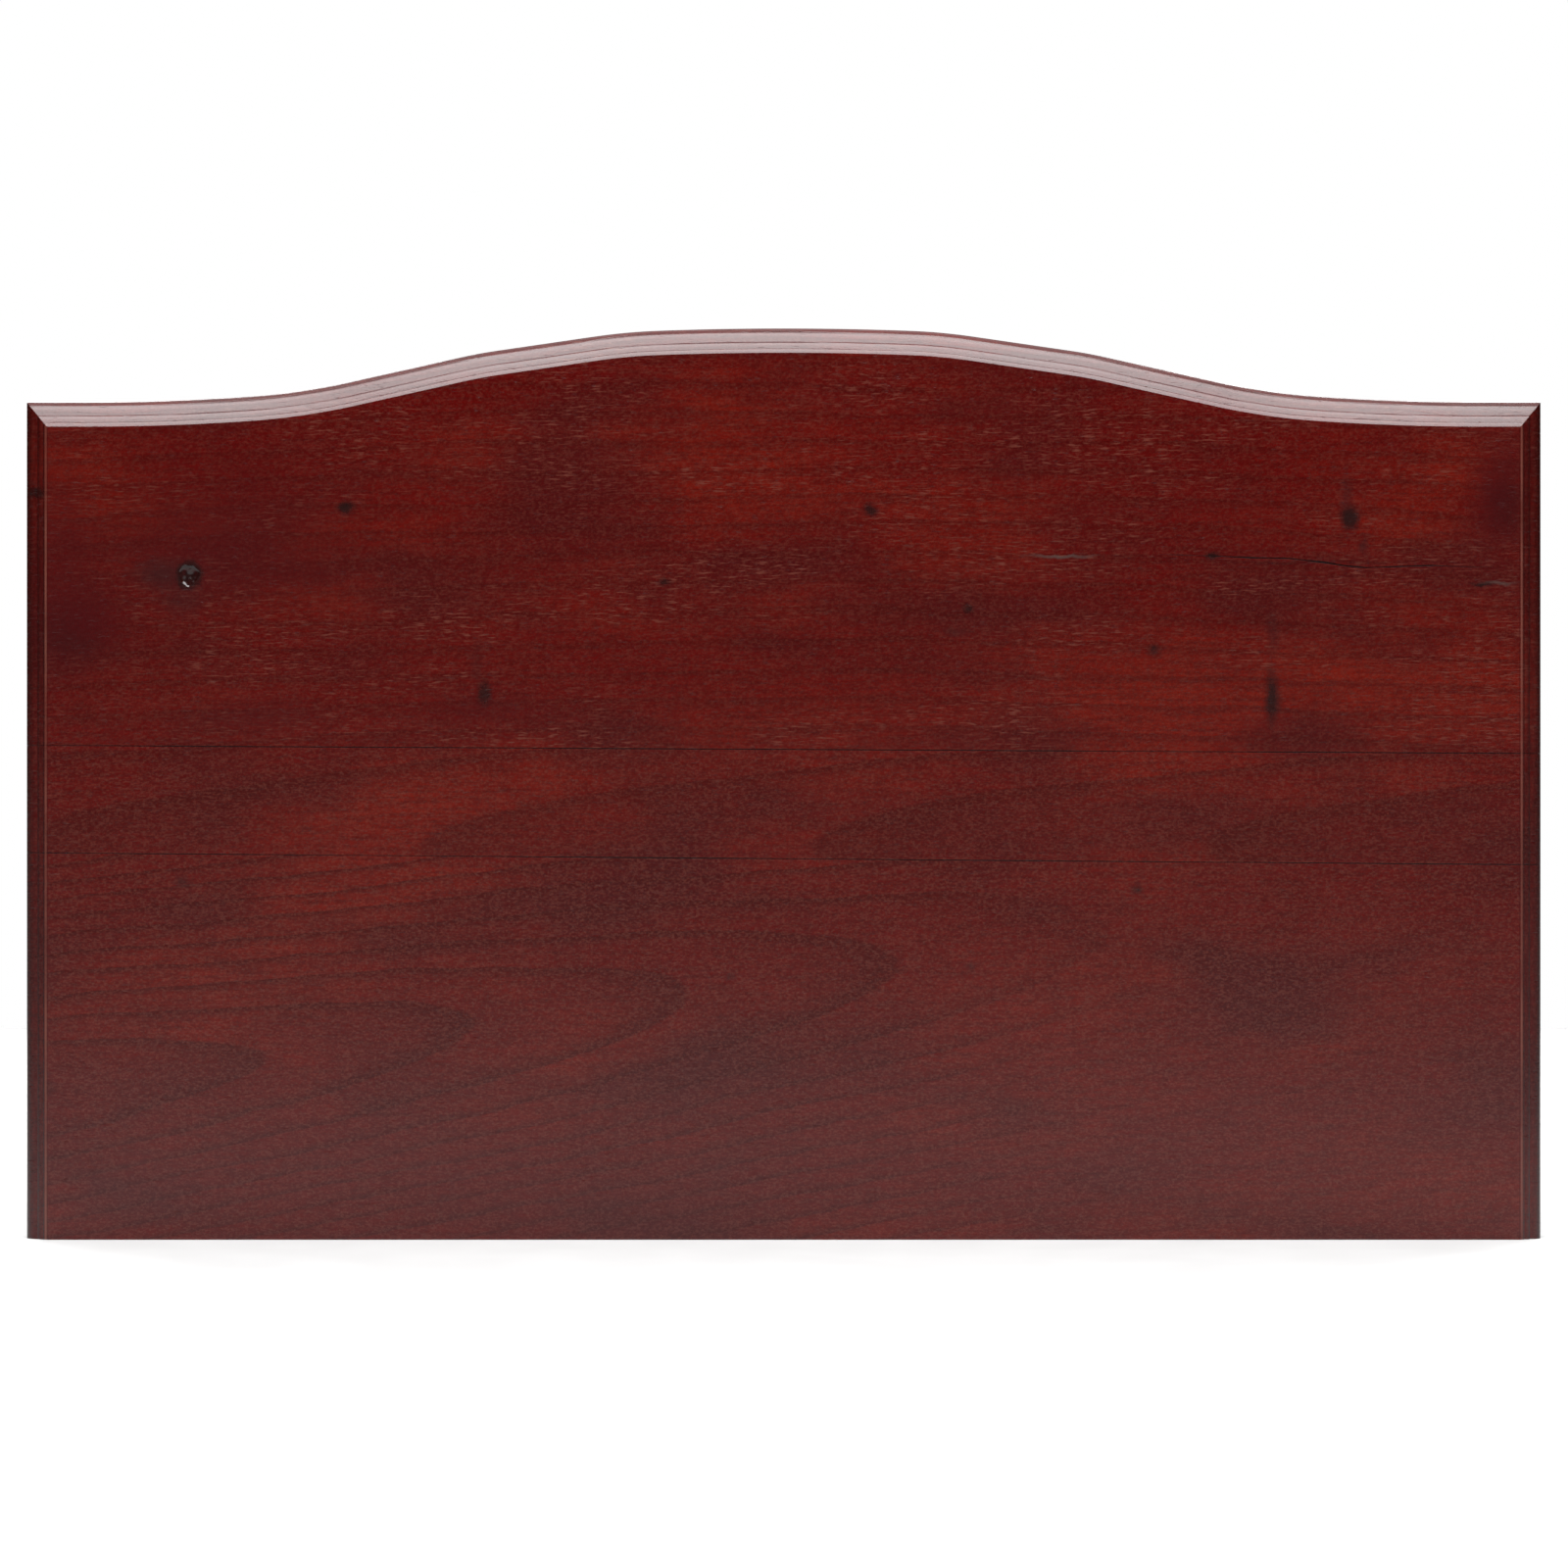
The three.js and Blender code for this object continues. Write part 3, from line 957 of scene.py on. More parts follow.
@dataclass(frozen=True)
class AgedBrass:
    """Rolled or drawn brass, a little tarnished, with fine lines along the way it was worked."""

    name: str
    metal: Colour = (0.70, 0.47, 0.17)
    tarnish: Colour = (0.26, 0.15, 0.06)
    lines: Triple = (2600.0, 400.0, 260.0)

    def make(self) -> bpy.types.Material:
        """Builds the material.

        Returns:
            The material.
        """
        bench = ShaderBench(self.name)
        place = bench.place()
        cloud = bench.noise(place, (260.0, 260.0, 260.0), 4.0, 0.6)
        drawn = bench.noise(place, self.lines, 2.0, 0.6)
        spots = bench.ease(bench.noise(place, (1500.0, 1500.0, 1500.0), 1.0), 0.62, 0.74)
        dull = bench.ease(cloud, 0.42, 0.74) * 0.55 + spots * 0.35
        colour = bench.mix(dull, self.metal, self.tarnish)
        roughness = bench.ease(cloud, 0.3, 0.75, 0.24, 0.5) + drawn * 0.1
        return bench.finish(colour, roughness, bench.bump(drawn, 0.02 * MM), Metallic=1.0)


@dataclass(frozen=True)
class MouldedRubber:
    """Black rubber with dust in its pores and a paler, rubbed crown."""

    rubber: Colour = (0.012, 0.012, 0.013)
    dust: Colour = (0.075, 0.070, 0.064)

    def make(self, crown: float, height: float) -> bpy.types.Material:
        """Builds the material.

        Args:
            crown: the Y of the bumper's top.
            height: how high the bumper stands.

        Returns:
            The material.
        """
        bench = ShaderBench("moulded_rubber")
        place = bench.place()
        grit = bench.noise(place, (1700.0, 1700.0, 1700.0), 3.0, 0.6)
        haze = bench.noise(place, (240.0, 240.0, 240.0), 2.0)
        rubbed = bench.ease(bench.split(place)[1], crown - height * 0.3, crown)
        dusty = bench.ease(grit, 0.5, 0.72) * 0.6 + bench.ease(haze, 0.4, 0.7) * 0.3
        colour = bench.mix(dusty + rubbed * 0.25, self.rubber, self.dust)
        roughness = bench.ease(haze, 0.2, 0.8, 0.62, 0.82)
        return bench.finish(colour, roughness, bench.bump(grit, 0.05 * MM))


@dataclass(frozen=True)
class Shadow:
    """What is left of the light in an open crack: near-black wood with a little dust."""

    deep: Colour = (0.004, 0.001, 0.001)
    dust: Colour = (0.030, 0.008, 0.006)

    def make(self) -> bpy.types.Material:
        """Builds the material.

        Returns:
            The material.
        """
        bench = ShaderBench("open_crack_shadow")
        place = bench.place()
        grit = bench.noise(place, (900.0, 900.0, 900.0), 2.0)
        colour = bench.mix(bench.ease(grit, 0.5, 0.7), self.deep, self.dust)
        return bench.finish(colour, bench.ease(grit, 0.3, 0.7, 0.7, 0.9), bench.bump(grit, 0.1 * MM))


# ---- Boards ----


@dataclass(frozen=True)
class Swell:
    """The top edge: a crest that falls to flat shoulders.

    Each stretch ends at a share of the reach with a steepness in degrees; the slope changes evenly
    along a stretch, and the whole fall is scaled to the rise.
    """

    reach: float
    crest: float
    rise: float
    stretches: tuple[Point, ...] = (
        (0.0, 0.0),
        (0.181, 2.1),
        (0.272, 8.3),
        (0.413, 8.3),
        (0.464, 12.6),
        (0.62, 12.6),
        (0.768, 3.9),
        (1.0, 0.0),
    )

    def _fall(self, distance: float) -> Point:
        """The unscaled fall and slope at a distance from the middle.

        Args:
            distance: how far from the middle.

        Returns:
            How far the edge has fallen there, and how steeply it falls.
        """
        fall = 0.0
        for (start, steep), (end, steeper) in zip(self.stretches, self.stretches[1:]):
            length = (end - start) * self.reach
            slope = math.tan(math.radians(steep))
            gain = math.tan(math.radians(steeper)) - slope
            along = min(max(distance - start * self.reach, 0.0), length)
            fall += slope * along + gain * along * along / (2 * length)
            if distance <= end * self.reach:
                return fall, slope + gain * along / length
        return fall, 0.0

    def at(self, x: float) -> tuple[float, Vector]:
        """Where the edge is at x.

        Args:
            x: the distance from the middle, negative on the left.

        Returns:
            The edge's height, and its outward direction in X and Z.
        """
        scale = self.rise / self._fall(self.reach)[0]
        fall, slope = self._fall(abs(x))
        tilt = math.copysign(math.atan(slope * scale), x)
        return self.crest - fall * scale, Vector((math.sin(tilt), math.cos(tilt)))


@dataclass(frozen=True)
class Moulding:
    """Three rounds that step up from the edge to the face."""

    top_band: float = 10.2 * MM
    side_band: float = 8.9 * MM
    depth: float = 7.4 * MM
    step: float = 0.45 * MM
    back_arris: float = 0.8 * MM
    arris_flats: int = 6
    first_flats: int = 14
    later_flats: int = 8
    first_round: Point = (0.55, 0.42)
    second_round: Point = (0.83, 0.17)
    flat_start: float = 0.38
    last_turn: float = math.radians(50)

    def _round(self, low: Point, high: Point, flats: int, start: float) -> list[Point]:
        """A rounded step, from its edge side to its face side.

        Args:
            low: the point nearer the edge: distance in, and depth below the face.
            high: the point nearer the face.
            flats: how many flats it has.
            start: how far it is turned where it starts, so that it is flatter.

        Returns:
            Its points.
        """
        whole_across = math.cos(start) - math.cos(self.last_turn)
        whole_up = math.sin(self.last_turn) - math.sin(start)
        points = []
        for i in range(flats + 1):
            angle = start + (self.last_turn - start) * i / flats
            across = (math.cos(start) - math.cos(angle)) / whole_across
            up = (math.sin(angle) - math.sin(start)) / whole_up
            points.append((low[0] + (high[0] - low[0]) * across, low[1] + (high[1] - low[1]) * up))
        return points

    def section(self, band: float, thickness: float) -> list[Point]:
        """The section of a moulded edge from the back to the face.

        Args:
            band: how wide the moulding is.
            thickness: the board's thickness.

        Returns:
            Points: distance in from the edge, and depth below the face.
        """
        first = (band * self.first_round[0], self.depth * self.first_round[1])
        second = (band * self.second_round[0], self.depth * self.second_round[1])
        arris_middle = (self.back_arris, thickness - self.back_arris)
        above_first = (first[0], first[1] - self.step)
        above_second = (second[0], second[1] - self.step)
        return [
            *arc(arris_middle, self.back_arris, 90, 90, self.arris_flats),
            *self._round((0.0, self.depth), first, self.first_flats, 0.0),
            *self._round(above_first, second, self.later_flats, self.flat_start),
            *self._round(above_second, (band, 0.0), self.later_flats, self.flat_start),
        ]


@dataclass(frozen=True)
class Crack:
    """The open drying crack in the right half of the upper board."""

    path: tuple[Point, ...] = (
        (148, 270.8), (159, 270.4), (170, 270.1), (185, 269.4), (200, 269.1), (214, 267.5),
        (222, 266.2), (230, 265.5), (242, 265.9), (256, 266.4), (270, 265.8), (280, 265.7),
    )
    widest: float = 0.36 * MM
    depth: float = 1.3 * MM
    lip: float = 0.3 * MM
    stations: int = 90
    blunt_end: float = 0.02
    unevenness: float = 0.28
    waves: Point = (41, 17)

    def cutter(self, front: float, lining: bpy.types.Material) -> bpy.types.Object:
        """Makes a cutter with the crack's shape.

        Args:
            front: the Y of the board's face.
            lining: the material of the crack's walls, a near-black painted shadow.

        Returns:
            The cutter.
        """
        loops = []
        for i in range(self.stations + 1):
            share = i / self.stations
            x, z = along_path(self.path, share)
            taper = math.sin(math.pi * min(max(share, self.blunt_end), 1 - self.blunt_end)) ** 0.5
            wave = math.sin(share * self.waves[0]) * math.sin(share * self.waves[1])
            open_half = self.widest * taper * (1 - self.unevenness + self.unevenness * wave)
            wide = open_half * (1 + self.lip / self.depth)
            loops.append([
                Vector((x * MM, front - self.lip, z * MM + wide)),
                Vector((x * MM, front + self.depth * taper, z * MM)),
                Vector((x * MM, front - self.lip, z * MM - wide)),
            ])
        mesh = bmesh.new()
        loft(mesh, loops)
        cutter = new_piece("crack", tidy_normals(mesh))
        cutter.data.materials.append(lining)
        return cutter


@dataclass(frozen=True)
class KnotHollow:
    """The shallow, ragged hollow of the large dead knot.

    Each lobe of its rim is how many there are round it, how strong they are and where they start.
    """

    middle: Point = (-235.0 * MM, 262.6 * MM)
    half_width: float = 3.9 * MM
    half_height: float = 4.3 * MM
    depth: float = 0.9 * MM
    lobes: tuple[Triple, ...] = ((3, 0.10, 0.6), (7, 0.05, 0.0))
    pitting: float = 0.22

    def cutter(self, front: float) -> bpy.types.Object:
        """Makes a cutter with the hollow's shape.

        Args:
            front: the Y of the board's face.

        Returns:
            The cutter.
        """
        mesh = bmesh.new()
        bmesh.ops.create_icosphere(mesh, subdivisions=4, radius=1.0)
        for vert in mesh.verts:
            x, y, z = vert.co
            turn = math.atan2(z, x)
            ragged = 1 + sum(depth * math.sin(count * turn + start) for count, depth, start in self.lobes)
            pitted = 1 + self.pitting * math.sin(5.0 * x + 1.0) * math.cos(6.0 * z)
            vert.co = Vector((
                self.middle[0] + x * ragged * self.half_width,
                front + y * pitted * self.depth,
                self.middle[1] + z * ragged * self.half_height,
            ))
        return new_piece("knot_hollow", tidy_normals(mesh))


def dowel_nodes(row: str) -> list[str]:
    """The CAD nodes of the dowels in the lower or the upper joint."""
    return [f"{row}_joint_dowel_{i}" for i in range(1, DOWELS_IN_A_JOINT + 1)]


@dataclass
class Panel:
    """The three boards, glued edge to edge, with their moulding, bores and natural faults."""

    glue_line: float = 0.2 * MM
    drawn_glue_line: float = 0.05 * MM
    lower_slant: float = math.radians(0.456)
    upper_slant: float = math.radians(0.305)
    shoulder_flat: float = 24 * MM
    crest_rise: float = 29.2 * MM
    clearance: float = 0.3 * MM
    bore_end_room: float = 1 * MM
    pilot_depth: float = 14.5 * MM
    pilot_radius: float = 2.05 * MM
    top_stations: int = 150
    sharpest_smooth: float = 20
    moulding: Moulding = field(default_factory=Moulding)
    crack: Crack = field(default_factory=Crack)
    knot_hollow: KnotHollow = field(default_factory=KnotHollow)

    def __post_init__(self) -> None:
        """Reads the panel's size and joints from the frame."""
        low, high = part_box("upper_board")
        self.half_width = high.x
        self.front = low.y
        self.back = high.y
        self.swell = Swell(self.half_width - self.shoulder_flat, high.z, self.crest_rise)
        self.joints = [
            Joint(self._joint_middle("lower_board", self.lower_slant), self.lower_slant),
            Joint(self._joint_middle("middle_board", self.upper_slant), self.upper_slant),
        ]

    def _joint_middle(self, board_below: str, slant: float) -> float:
        """The height of a joint at the panel's middle, from the board under it."""
        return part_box(board_below)[1].z + self.glue_line / 2 - self.half_width * math.tan(slant)

    def _loops(
        self, bottom: Callable[[float], float], top: Callable[[float], float] | None
    ) -> list[list[Vector]]:
        """The board's outline at every level of the moulding, from the back to the face.

        Args:
            bottom: the height of the lower edge at x.
            top: the height of the upper edge at x, or nothing where the moulded top edge is.

        Returns:
            One loop of points for each level.
        """
        thickness = self.back - self.front
        sides = self.moulding.section(self.moulding.side_band, thickness)
        tops = self.moulding.section(self.moulding.top_band, thickness)
        loops = []
        for (side_in, below), (top_in, _) in zip(sides, tops):
            reach = self.half_width - side_in
            outline = [(-reach, bottom(-reach))]
            if top is None:
                shoulder = self.swell.crest - self.swell.rise - top_in
                outline.append((-reach, shoulder))
                for i in range(self.top_stations + 1):
                    x = self.swell.reach * (2 * i / self.top_stations - 1)
                    z, out = self.swell.at(x)
                    outline.append((x - out.x * top_in, z - out.y * top_in))
                outline.append((reach, shoulder))
            else:
                outline += [(-reach, top(-reach)), (reach, top(reach))]
            outline.append((reach, bottom(reach)))
            loops.append([Vector((x, self.front + below, z)) for x, z in outline])
        return loops

    def _bores(self, dowels: Iterable[str]) -> bpy.types.Object:
        """Makes a cutter for the dowel bores.

        Args:
            dowels: the CAD nodes of the dowels that go in them.

        Returns:
            The cutter.
        """
        mesh = bmesh.new()
        for dowel in dowels:
            low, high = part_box(dowel)
            radius = (high.y - low.y) / 2 + self.clearance
            rod(mesh, (low + high) / 2, "Z", radius, high.z - low.z + 2 * self.bore_end_room)
        return new_piece("bores", tidy_normals(mesh))

    def _pilot_holes(self) -> bpy.types.Object:
        """Makes a cutter for the hanger screws' pilot holes.

        Returns:
            The cutter.
        """
        mesh = bmesh.new()
        for side in Side:
            for place in ("upper", "lower"):
                low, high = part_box(f"{side.value}_hanger_screw_{place}")
                middle = (low + high) / 2
                middle.y = self.back
                rod(mesh, middle, "Y", self.pilot_radius, 2 * self.pilot_depth)
        return new_piece("pilot_holes", tidy_normals(mesh))

    def build(self, wood: StainedWood, crack_lining: bpy.types.Material) -> None:
        """Makes the three boards.

        Args:
            wood: their finish.
            crack_lining: the painted shadow that the open crack shows inside.
        """
        half_gap = self.drawn_glue_line / 2
        corner = Vector((self.half_width, self.front, self.swell.crest - self.swell.rise))
        lower, upper = self.joints
        lower_dowels = dowel_nodes("lower")
        upper_dowels = dowel_nodes("upper")
        plans = (
            ("lower_board", lambda x: 0.0, lambda x: lower.at(x) - half_gap, lower_dowels),
            (
                "middle_board",
                lambda x: lower.at(x) + half_gap,
                lambda x: upper.at(x) - half_gap,
                lower_dowels + upper_dowels,
            ),
            ("upper_board", lambda x: upper.at(x) + half_gap, None, upper_dowels),
        )
        for node, bottom, top, dowels in plans:
            mesh = bmesh.new()
            loft(mesh, self._loops(bottom, top))
            piece = new_piece(f"{node}_wood", tidy_normals(mesh))
            finish = wood.make(f"stained_{node}", GRAINS[node], self.joints, corner)
            piece.data.materials.append(finish)
            carve(piece, self._bores(dowels))
            if top is None:
                carve(piece, self._pilot_holes())
                carve(piece, self.crack.cutter(self.front, crack_lining))
                carve(piece, self.knot_hollow.cutter(self.front))
            shade(piece, self.sharpest_smooth)
            enter(piece, Body.PANEL, Slot.BOARD, node)


UPPER_MARKS = (
    Mark(Tint.PLUM, -223, 277, 90, 50, 0.6),
    Mark(Tint.PLUM, 283, 292, 20, 34, 0.95),
    Mark(Tint.CHAR, 288, 290, 14, 22, 0.28),
    Mark(Tint.PLUM, -278, 243, 34, 26, 0.95),
    Mark(Tint.CHAR, -281, 235, 17, 7, 0.30),
    Mark(Tint.CHAR, -287, 242, 11, 12, 0.25),
    Mark(Tint.PLUM, -288, 270, 26, 70, 0.55),
    Mark(Tint.PLUM, -120, 210, 34, 9, 0.45),
    Mark(Tint.PLUM, -206, 206, 44, 12, 0.55),
    Mark(Tint.SMOKE, -247, 263, 16, 10, 0.7),
    Mark(Tint.SMOKE, -238, 252, 14, 10, 0.45),
    Mark(Tint.PLUM, -205, 262, 40, 9, 0.45),
    Mark(Tint.CHAR, -235, 262.6, 7.0, 7.4, 0.95, 0.5),
    Mark(Tint.CHAR, -173, 289, 5.2, 4.0, 0.9, 0.2),
    Mark(Tint.CHAR, 34, 288, 4.6, 4.2, 0.85, 0.1),
    Mark(Tint.SMOKE, 222, 292, 4.0, 17, 0.45),
    Mark(Tint.CHAR, 224, 285, 5.4, 7.0, 0.9, 0.3),
    Mark(Tint.SMOKE, 229, 274, 3.0, 6.0, 0.6),
    Mark(Tint.CHAR, -118, 216, 4.4, 7.5, 0.8, 0.1),
    Mark(Tint.SMOKE, -121, 229, 4.0, 13, 0.3),
    Mark(Tint.CHAR, 193, 214, 4.6, 17, 0.9, 0.1),
    Mark(Tint.SMOKE, 193, 240, 4.0, 14, 0.4),
    Mark(Tint.CHAR, -47, 260, 3.6, 3.2, 0.75),
    Mark(Tint.CHAR, 73, 249, 3.8, 3.4, 0.75),
    Mark(Tint.SMOKE, 68, 240, 8, 3.0, 0.5),
    Mark(Tint.CHAR, 146, 233, 4.2, 5.0, 0.7),
    Mark(Tint.CHAR, 169.5, 270.1, 4.0, 2.6, 0.9),
    Mark(Tint.CHAR, -297, 295, 7.0, 2.8, 0.9, 0.3),
    # a dark streak along the open crack: painted shadow that darkens the crack's line
    Mark(Tint.CHAR, 214, 267.6, 60, 1.2, 0.3, 0.2),
    Mark(Tint.FILLER, 110, 270, 20, 1.1, 0.75),
    Mark(Tint.CHAR, 276, 259, 8.0, 1.6, 0.9),
    Mark(Tint.FILLER, 283, 259.6, 10, 1.2, 0.6),
)
LOWER_MARKS = (
    Mark(Tint.SMOKE, -237, 141, 5.0, 3.6, 0.6),
    Mark(Tint.CHAR, 140, 138.5, 4.0, 3.4, 0.6),
    Mark(Tint.SMOKE, -21, 104, 3.6, 3.0, 0.5),
    Mark(Tint.SMOKE, 74, 108, 3.6, 3.0, 0.5),
)
GRAINS = {
    "lower_board": Grain(
        heart_height=0.103, height_drift=0.149, heart_depth=0.035, depth_drift=0.084,
        ring_width=0.007, ring_strength=0.75, bow=0.0, fade=0.3,
        flecks=0.12, cloudiness=0.38, marks=LOWER_MARKS,
    ),
    "middle_board": Grain(
        heart_height=0.155, height_drift=0.0, heart_depth=0.0603, depth_drift=-0.045,
        ring_width=0.007, ring_strength=0.6, bow=0.0, fade=1.0,
        flecks=0.25, cloudiness=0.34,
    ),
    "upper_board": Grain(
        heart_height=-0.30, height_drift=0.0, heart_depth=0.25, depth_drift=0.0,
        ring_width=0.0103, ring_strength=0.42, bow=0.1, fade=1.0,
        flecks=0.85, cloudiness=0.24, marks=UPPER_MARKS,
    ),
}


# ---- Turned pieces: dowels, screws and bumpers ----


class Lathe:
    """A Geometry Nodes tree that turns a profile about Y, with flutes or a screw thread."""

    half_ridge = 0.32
    groove_edge = 0.35

    def __init__(self) -> None:
        """Builds the tree."""
        bench = GeometryBench("lathe")
        sides = bench.take("Sides", "NodeSocketInt")
        flutes = bench.take("Flutes", "NodeSocketInt")
        flute_depth = bench.take("Flute Depth")
        pitch = bench.take("Thread Pitch")
        thread_depth = bench.take("Thread Depth")
        thread_from = bench.take("Thread From")
        thread_to = bench.take("Thread To")
        lay = bench.take("Lay", "NodeSocketVector")
        place = bench.take("Place", "NodeSocketVector")
        rows = bench.flow("GeometryNodeAttributeDomainSize", {"Geometry": bench.geometry}, "Point Count")
        grid_inputs = {"Size X": 1.0, "Size Y": 1.0, "Vertices X": sides + 1, "Vertices Y": rows}
        grid = bench.node("GeometryNodeMeshGrid", grid_inputs).outputs
        around, along, _ = bench.split(Flow(bench, grid["UV Map"]))
        row = bench.math("ROUND", along * (rows - 1))
        position = bench.flow("GeometryNodeInputPosition")
        sample_inputs = {"Geometry": bench.geometry, "Value": position, "Index": row}
        sample = bench.flow("GeometryNodeSampleIndex", sample_inputs, data_type="FLOAT_VECTOR")
        radius, height, _ = bench.split(sample)
        angle = around * TURN
        phase = (height / pitch + around).fraction()
        ridge = (1.0 - (phase - 0.5).size() / self.half_ridge).most(0.0)
        run_in = bench.ease(height, thread_from, thread_from + pitch)
        run_out = bench.fall(height, thread_to - pitch, thread_to)
        groove = bench.ease(bench.math("COSINE", angle * flutes), self.groove_edge, 1.0)
        inside = run_in * run_out
        turned = radius + ridge * thread_depth * inside - groove * flute_depth * inside
        drawn = turned * bench.math("GREATER_THAN", radius, WELD)
        across = drawn * bench.math("COSINE", angle)
        point = bench.join(across, height, drawn * bench.math("SINE", angle))
        skin_inputs = {"Geometry": Flow(bench, grid["Mesh"]), "Position": point}
        skin = bench.flow("GeometryNodeSetPosition", skin_inputs)
        closed = bench.flow("GeometryNodeMergeByDistance", {"Geometry": skin, "Distance": WELD})
        moved_inputs = {"Geometry": closed, "Rotation": lay, "Translation": place}
        bench.give(bench.flow("GeometryNodeTransform", moved_inputs))
        self.bench = bench

    def turn(
        self, name: str, profile: Sequence[Point], finish: bpy.types.Material, **values: Any
    ) -> bpy.types.Object:
        """Turns one piece.

        Args:
            name: the piece's name.
            profile: radius and height of each point of the profile.
            finish: its material.
            values: the tree's other inputs.

        Returns:
            The piece.
        """
        mesh = bmesh.new()
        points = [mesh.verts.new((radius, height, 0.0)) for radius, height in profile]
        for here, there in zip(points, points[1:]):
            mesh.edges.new((here, there))
        settings = {
            "Sides": 48, "Flutes": 1, "Flute_Depth": 0.0, "Thread_Pitch": 1.0, "Thread_Depth": 0.0,
            "Thread_From": 0.0, "Thread_To": 1.0, "Lay": (0.0, 0.0, 0.0), "Finish": finish,
        }
        settings.update(values)
        return self.bench.run(new_piece(name, mesh), **settings)


@dataclass
class Dowels:
    """The fluted beech dowels in both joints."""

    flutes: int = 10
    sides_to_a_flute: int = 10
    flute_depth: float = 0.35 * MM
    chamfer: float = 1 * MM
    chamfer_rows: int = 3
    side_rows: int = 24

    def _profile(self, radius: float, half: float) -> list[Point]:
        """A dowel's profile from end to end.

        Args:
            radius: its radius.
            half: half its length.

        Returns:
            The profile's points.
        """
        inner = radius - self.chamfer
        shoulder = half - self.chamfer
        return [
            (0.0, -half),
            *evenly((inner, -half), (radius, -shoulder), self.chamfer_rows),
            *evenly((radius, -shoulder), (radius, shoulder), self.side_rows),
            *evenly((radius, shoulder), (inner, half), self.chamfer_rows),
            (inner, half),
            (0.0, half),
        ]

    def build(self, lathe: Lathe, joints: Sequence[Joint]) -> None:
        """Makes a dowel in place of each CAD dowel.

        Args:
            lathe: turns them.
            joints: the lower and the upper joint.
        """
        for row, joint in zip(("lower", "upper"), joints):
            finish = RawBeech().make(f"{row}_joint_beech", joint)
            for node in dowel_nodes(row):
                low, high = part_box(node)
                half = (high.z - low.z) / 2
                piece = lathe.turn(
                    f"{node}_beech",
                    self._profile((high.y - low.y) / 2, half),
                    finish,
                    Sides=self.flutes * self.sides_to_a_flute,
                    Flutes=self.flutes,
                    Flute_Depth=self.flute_depth,
                    Thread_From=-half,
                    Thread_To=half,
                    Thread_Pitch=2 * self.chamfer,
                    Lay=(math.radians(90), 0.0, 0.0),
                    Place=(low + high) / 2,
                )
                shade(piece, 40)
                enter(piece, Body.PANEL, Slot.DOWEL, node)


@dataclass
class Bumpers:
    """The two rubber bumpers at the back's lower corners."""

    round: float = 1.6 * MM
    sides: int = 64
    dish: float = 0.04 * MM

    def _profile(self, radius: float, height: float) -> list[Point]:
        """A bumper's profile, from the middle of its foot to its slightly dished crown.

        Args:
            radius: its radius.
            height: how high it stands.

        Returns:
            The profile's points.
        """
        return [
            (0.0, 0.0),
            *evenly((radius * 0.6, 0.0), (radius, 0.0), 3),
            (radius, 0.0),
            *evenly((radius, 0.1 * MM), (radius, height - self.round), 3),
            *quarter_round(radius, height, self.round, self.round, 10),
            (radius * 0.45, height - self.dish / 2),
            (radius * 0.2, height - self.dish),
            (0.0, height - self.dish),
        ]

    def build(self, lathe: Lathe) -> None:
        """Makes a bumper in place of each CAD bumper.

        Args:
            lathe: turns them.
        """
        low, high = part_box("left_bumper")
        height = high.y - low.y
        finish = MouldedRubber().make(high.y, height)
        for side in Side:
            node = f"{side.value}_bumper"
            low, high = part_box(node)
            profile = self._profile((high.x - low.x) / 2, height)
            place = Vector(((low.x + high.x) / 2, low.y, (low.z + high.z) / 2))
            piece = lathe.turn(f"{node}_rubber", profile, finish, Sides=self.sides, Place=place)
            shade(piece, 40)
            enter(piece, Body.PANEL, Slot.BUMPER, node)


# ---- Hangers ----


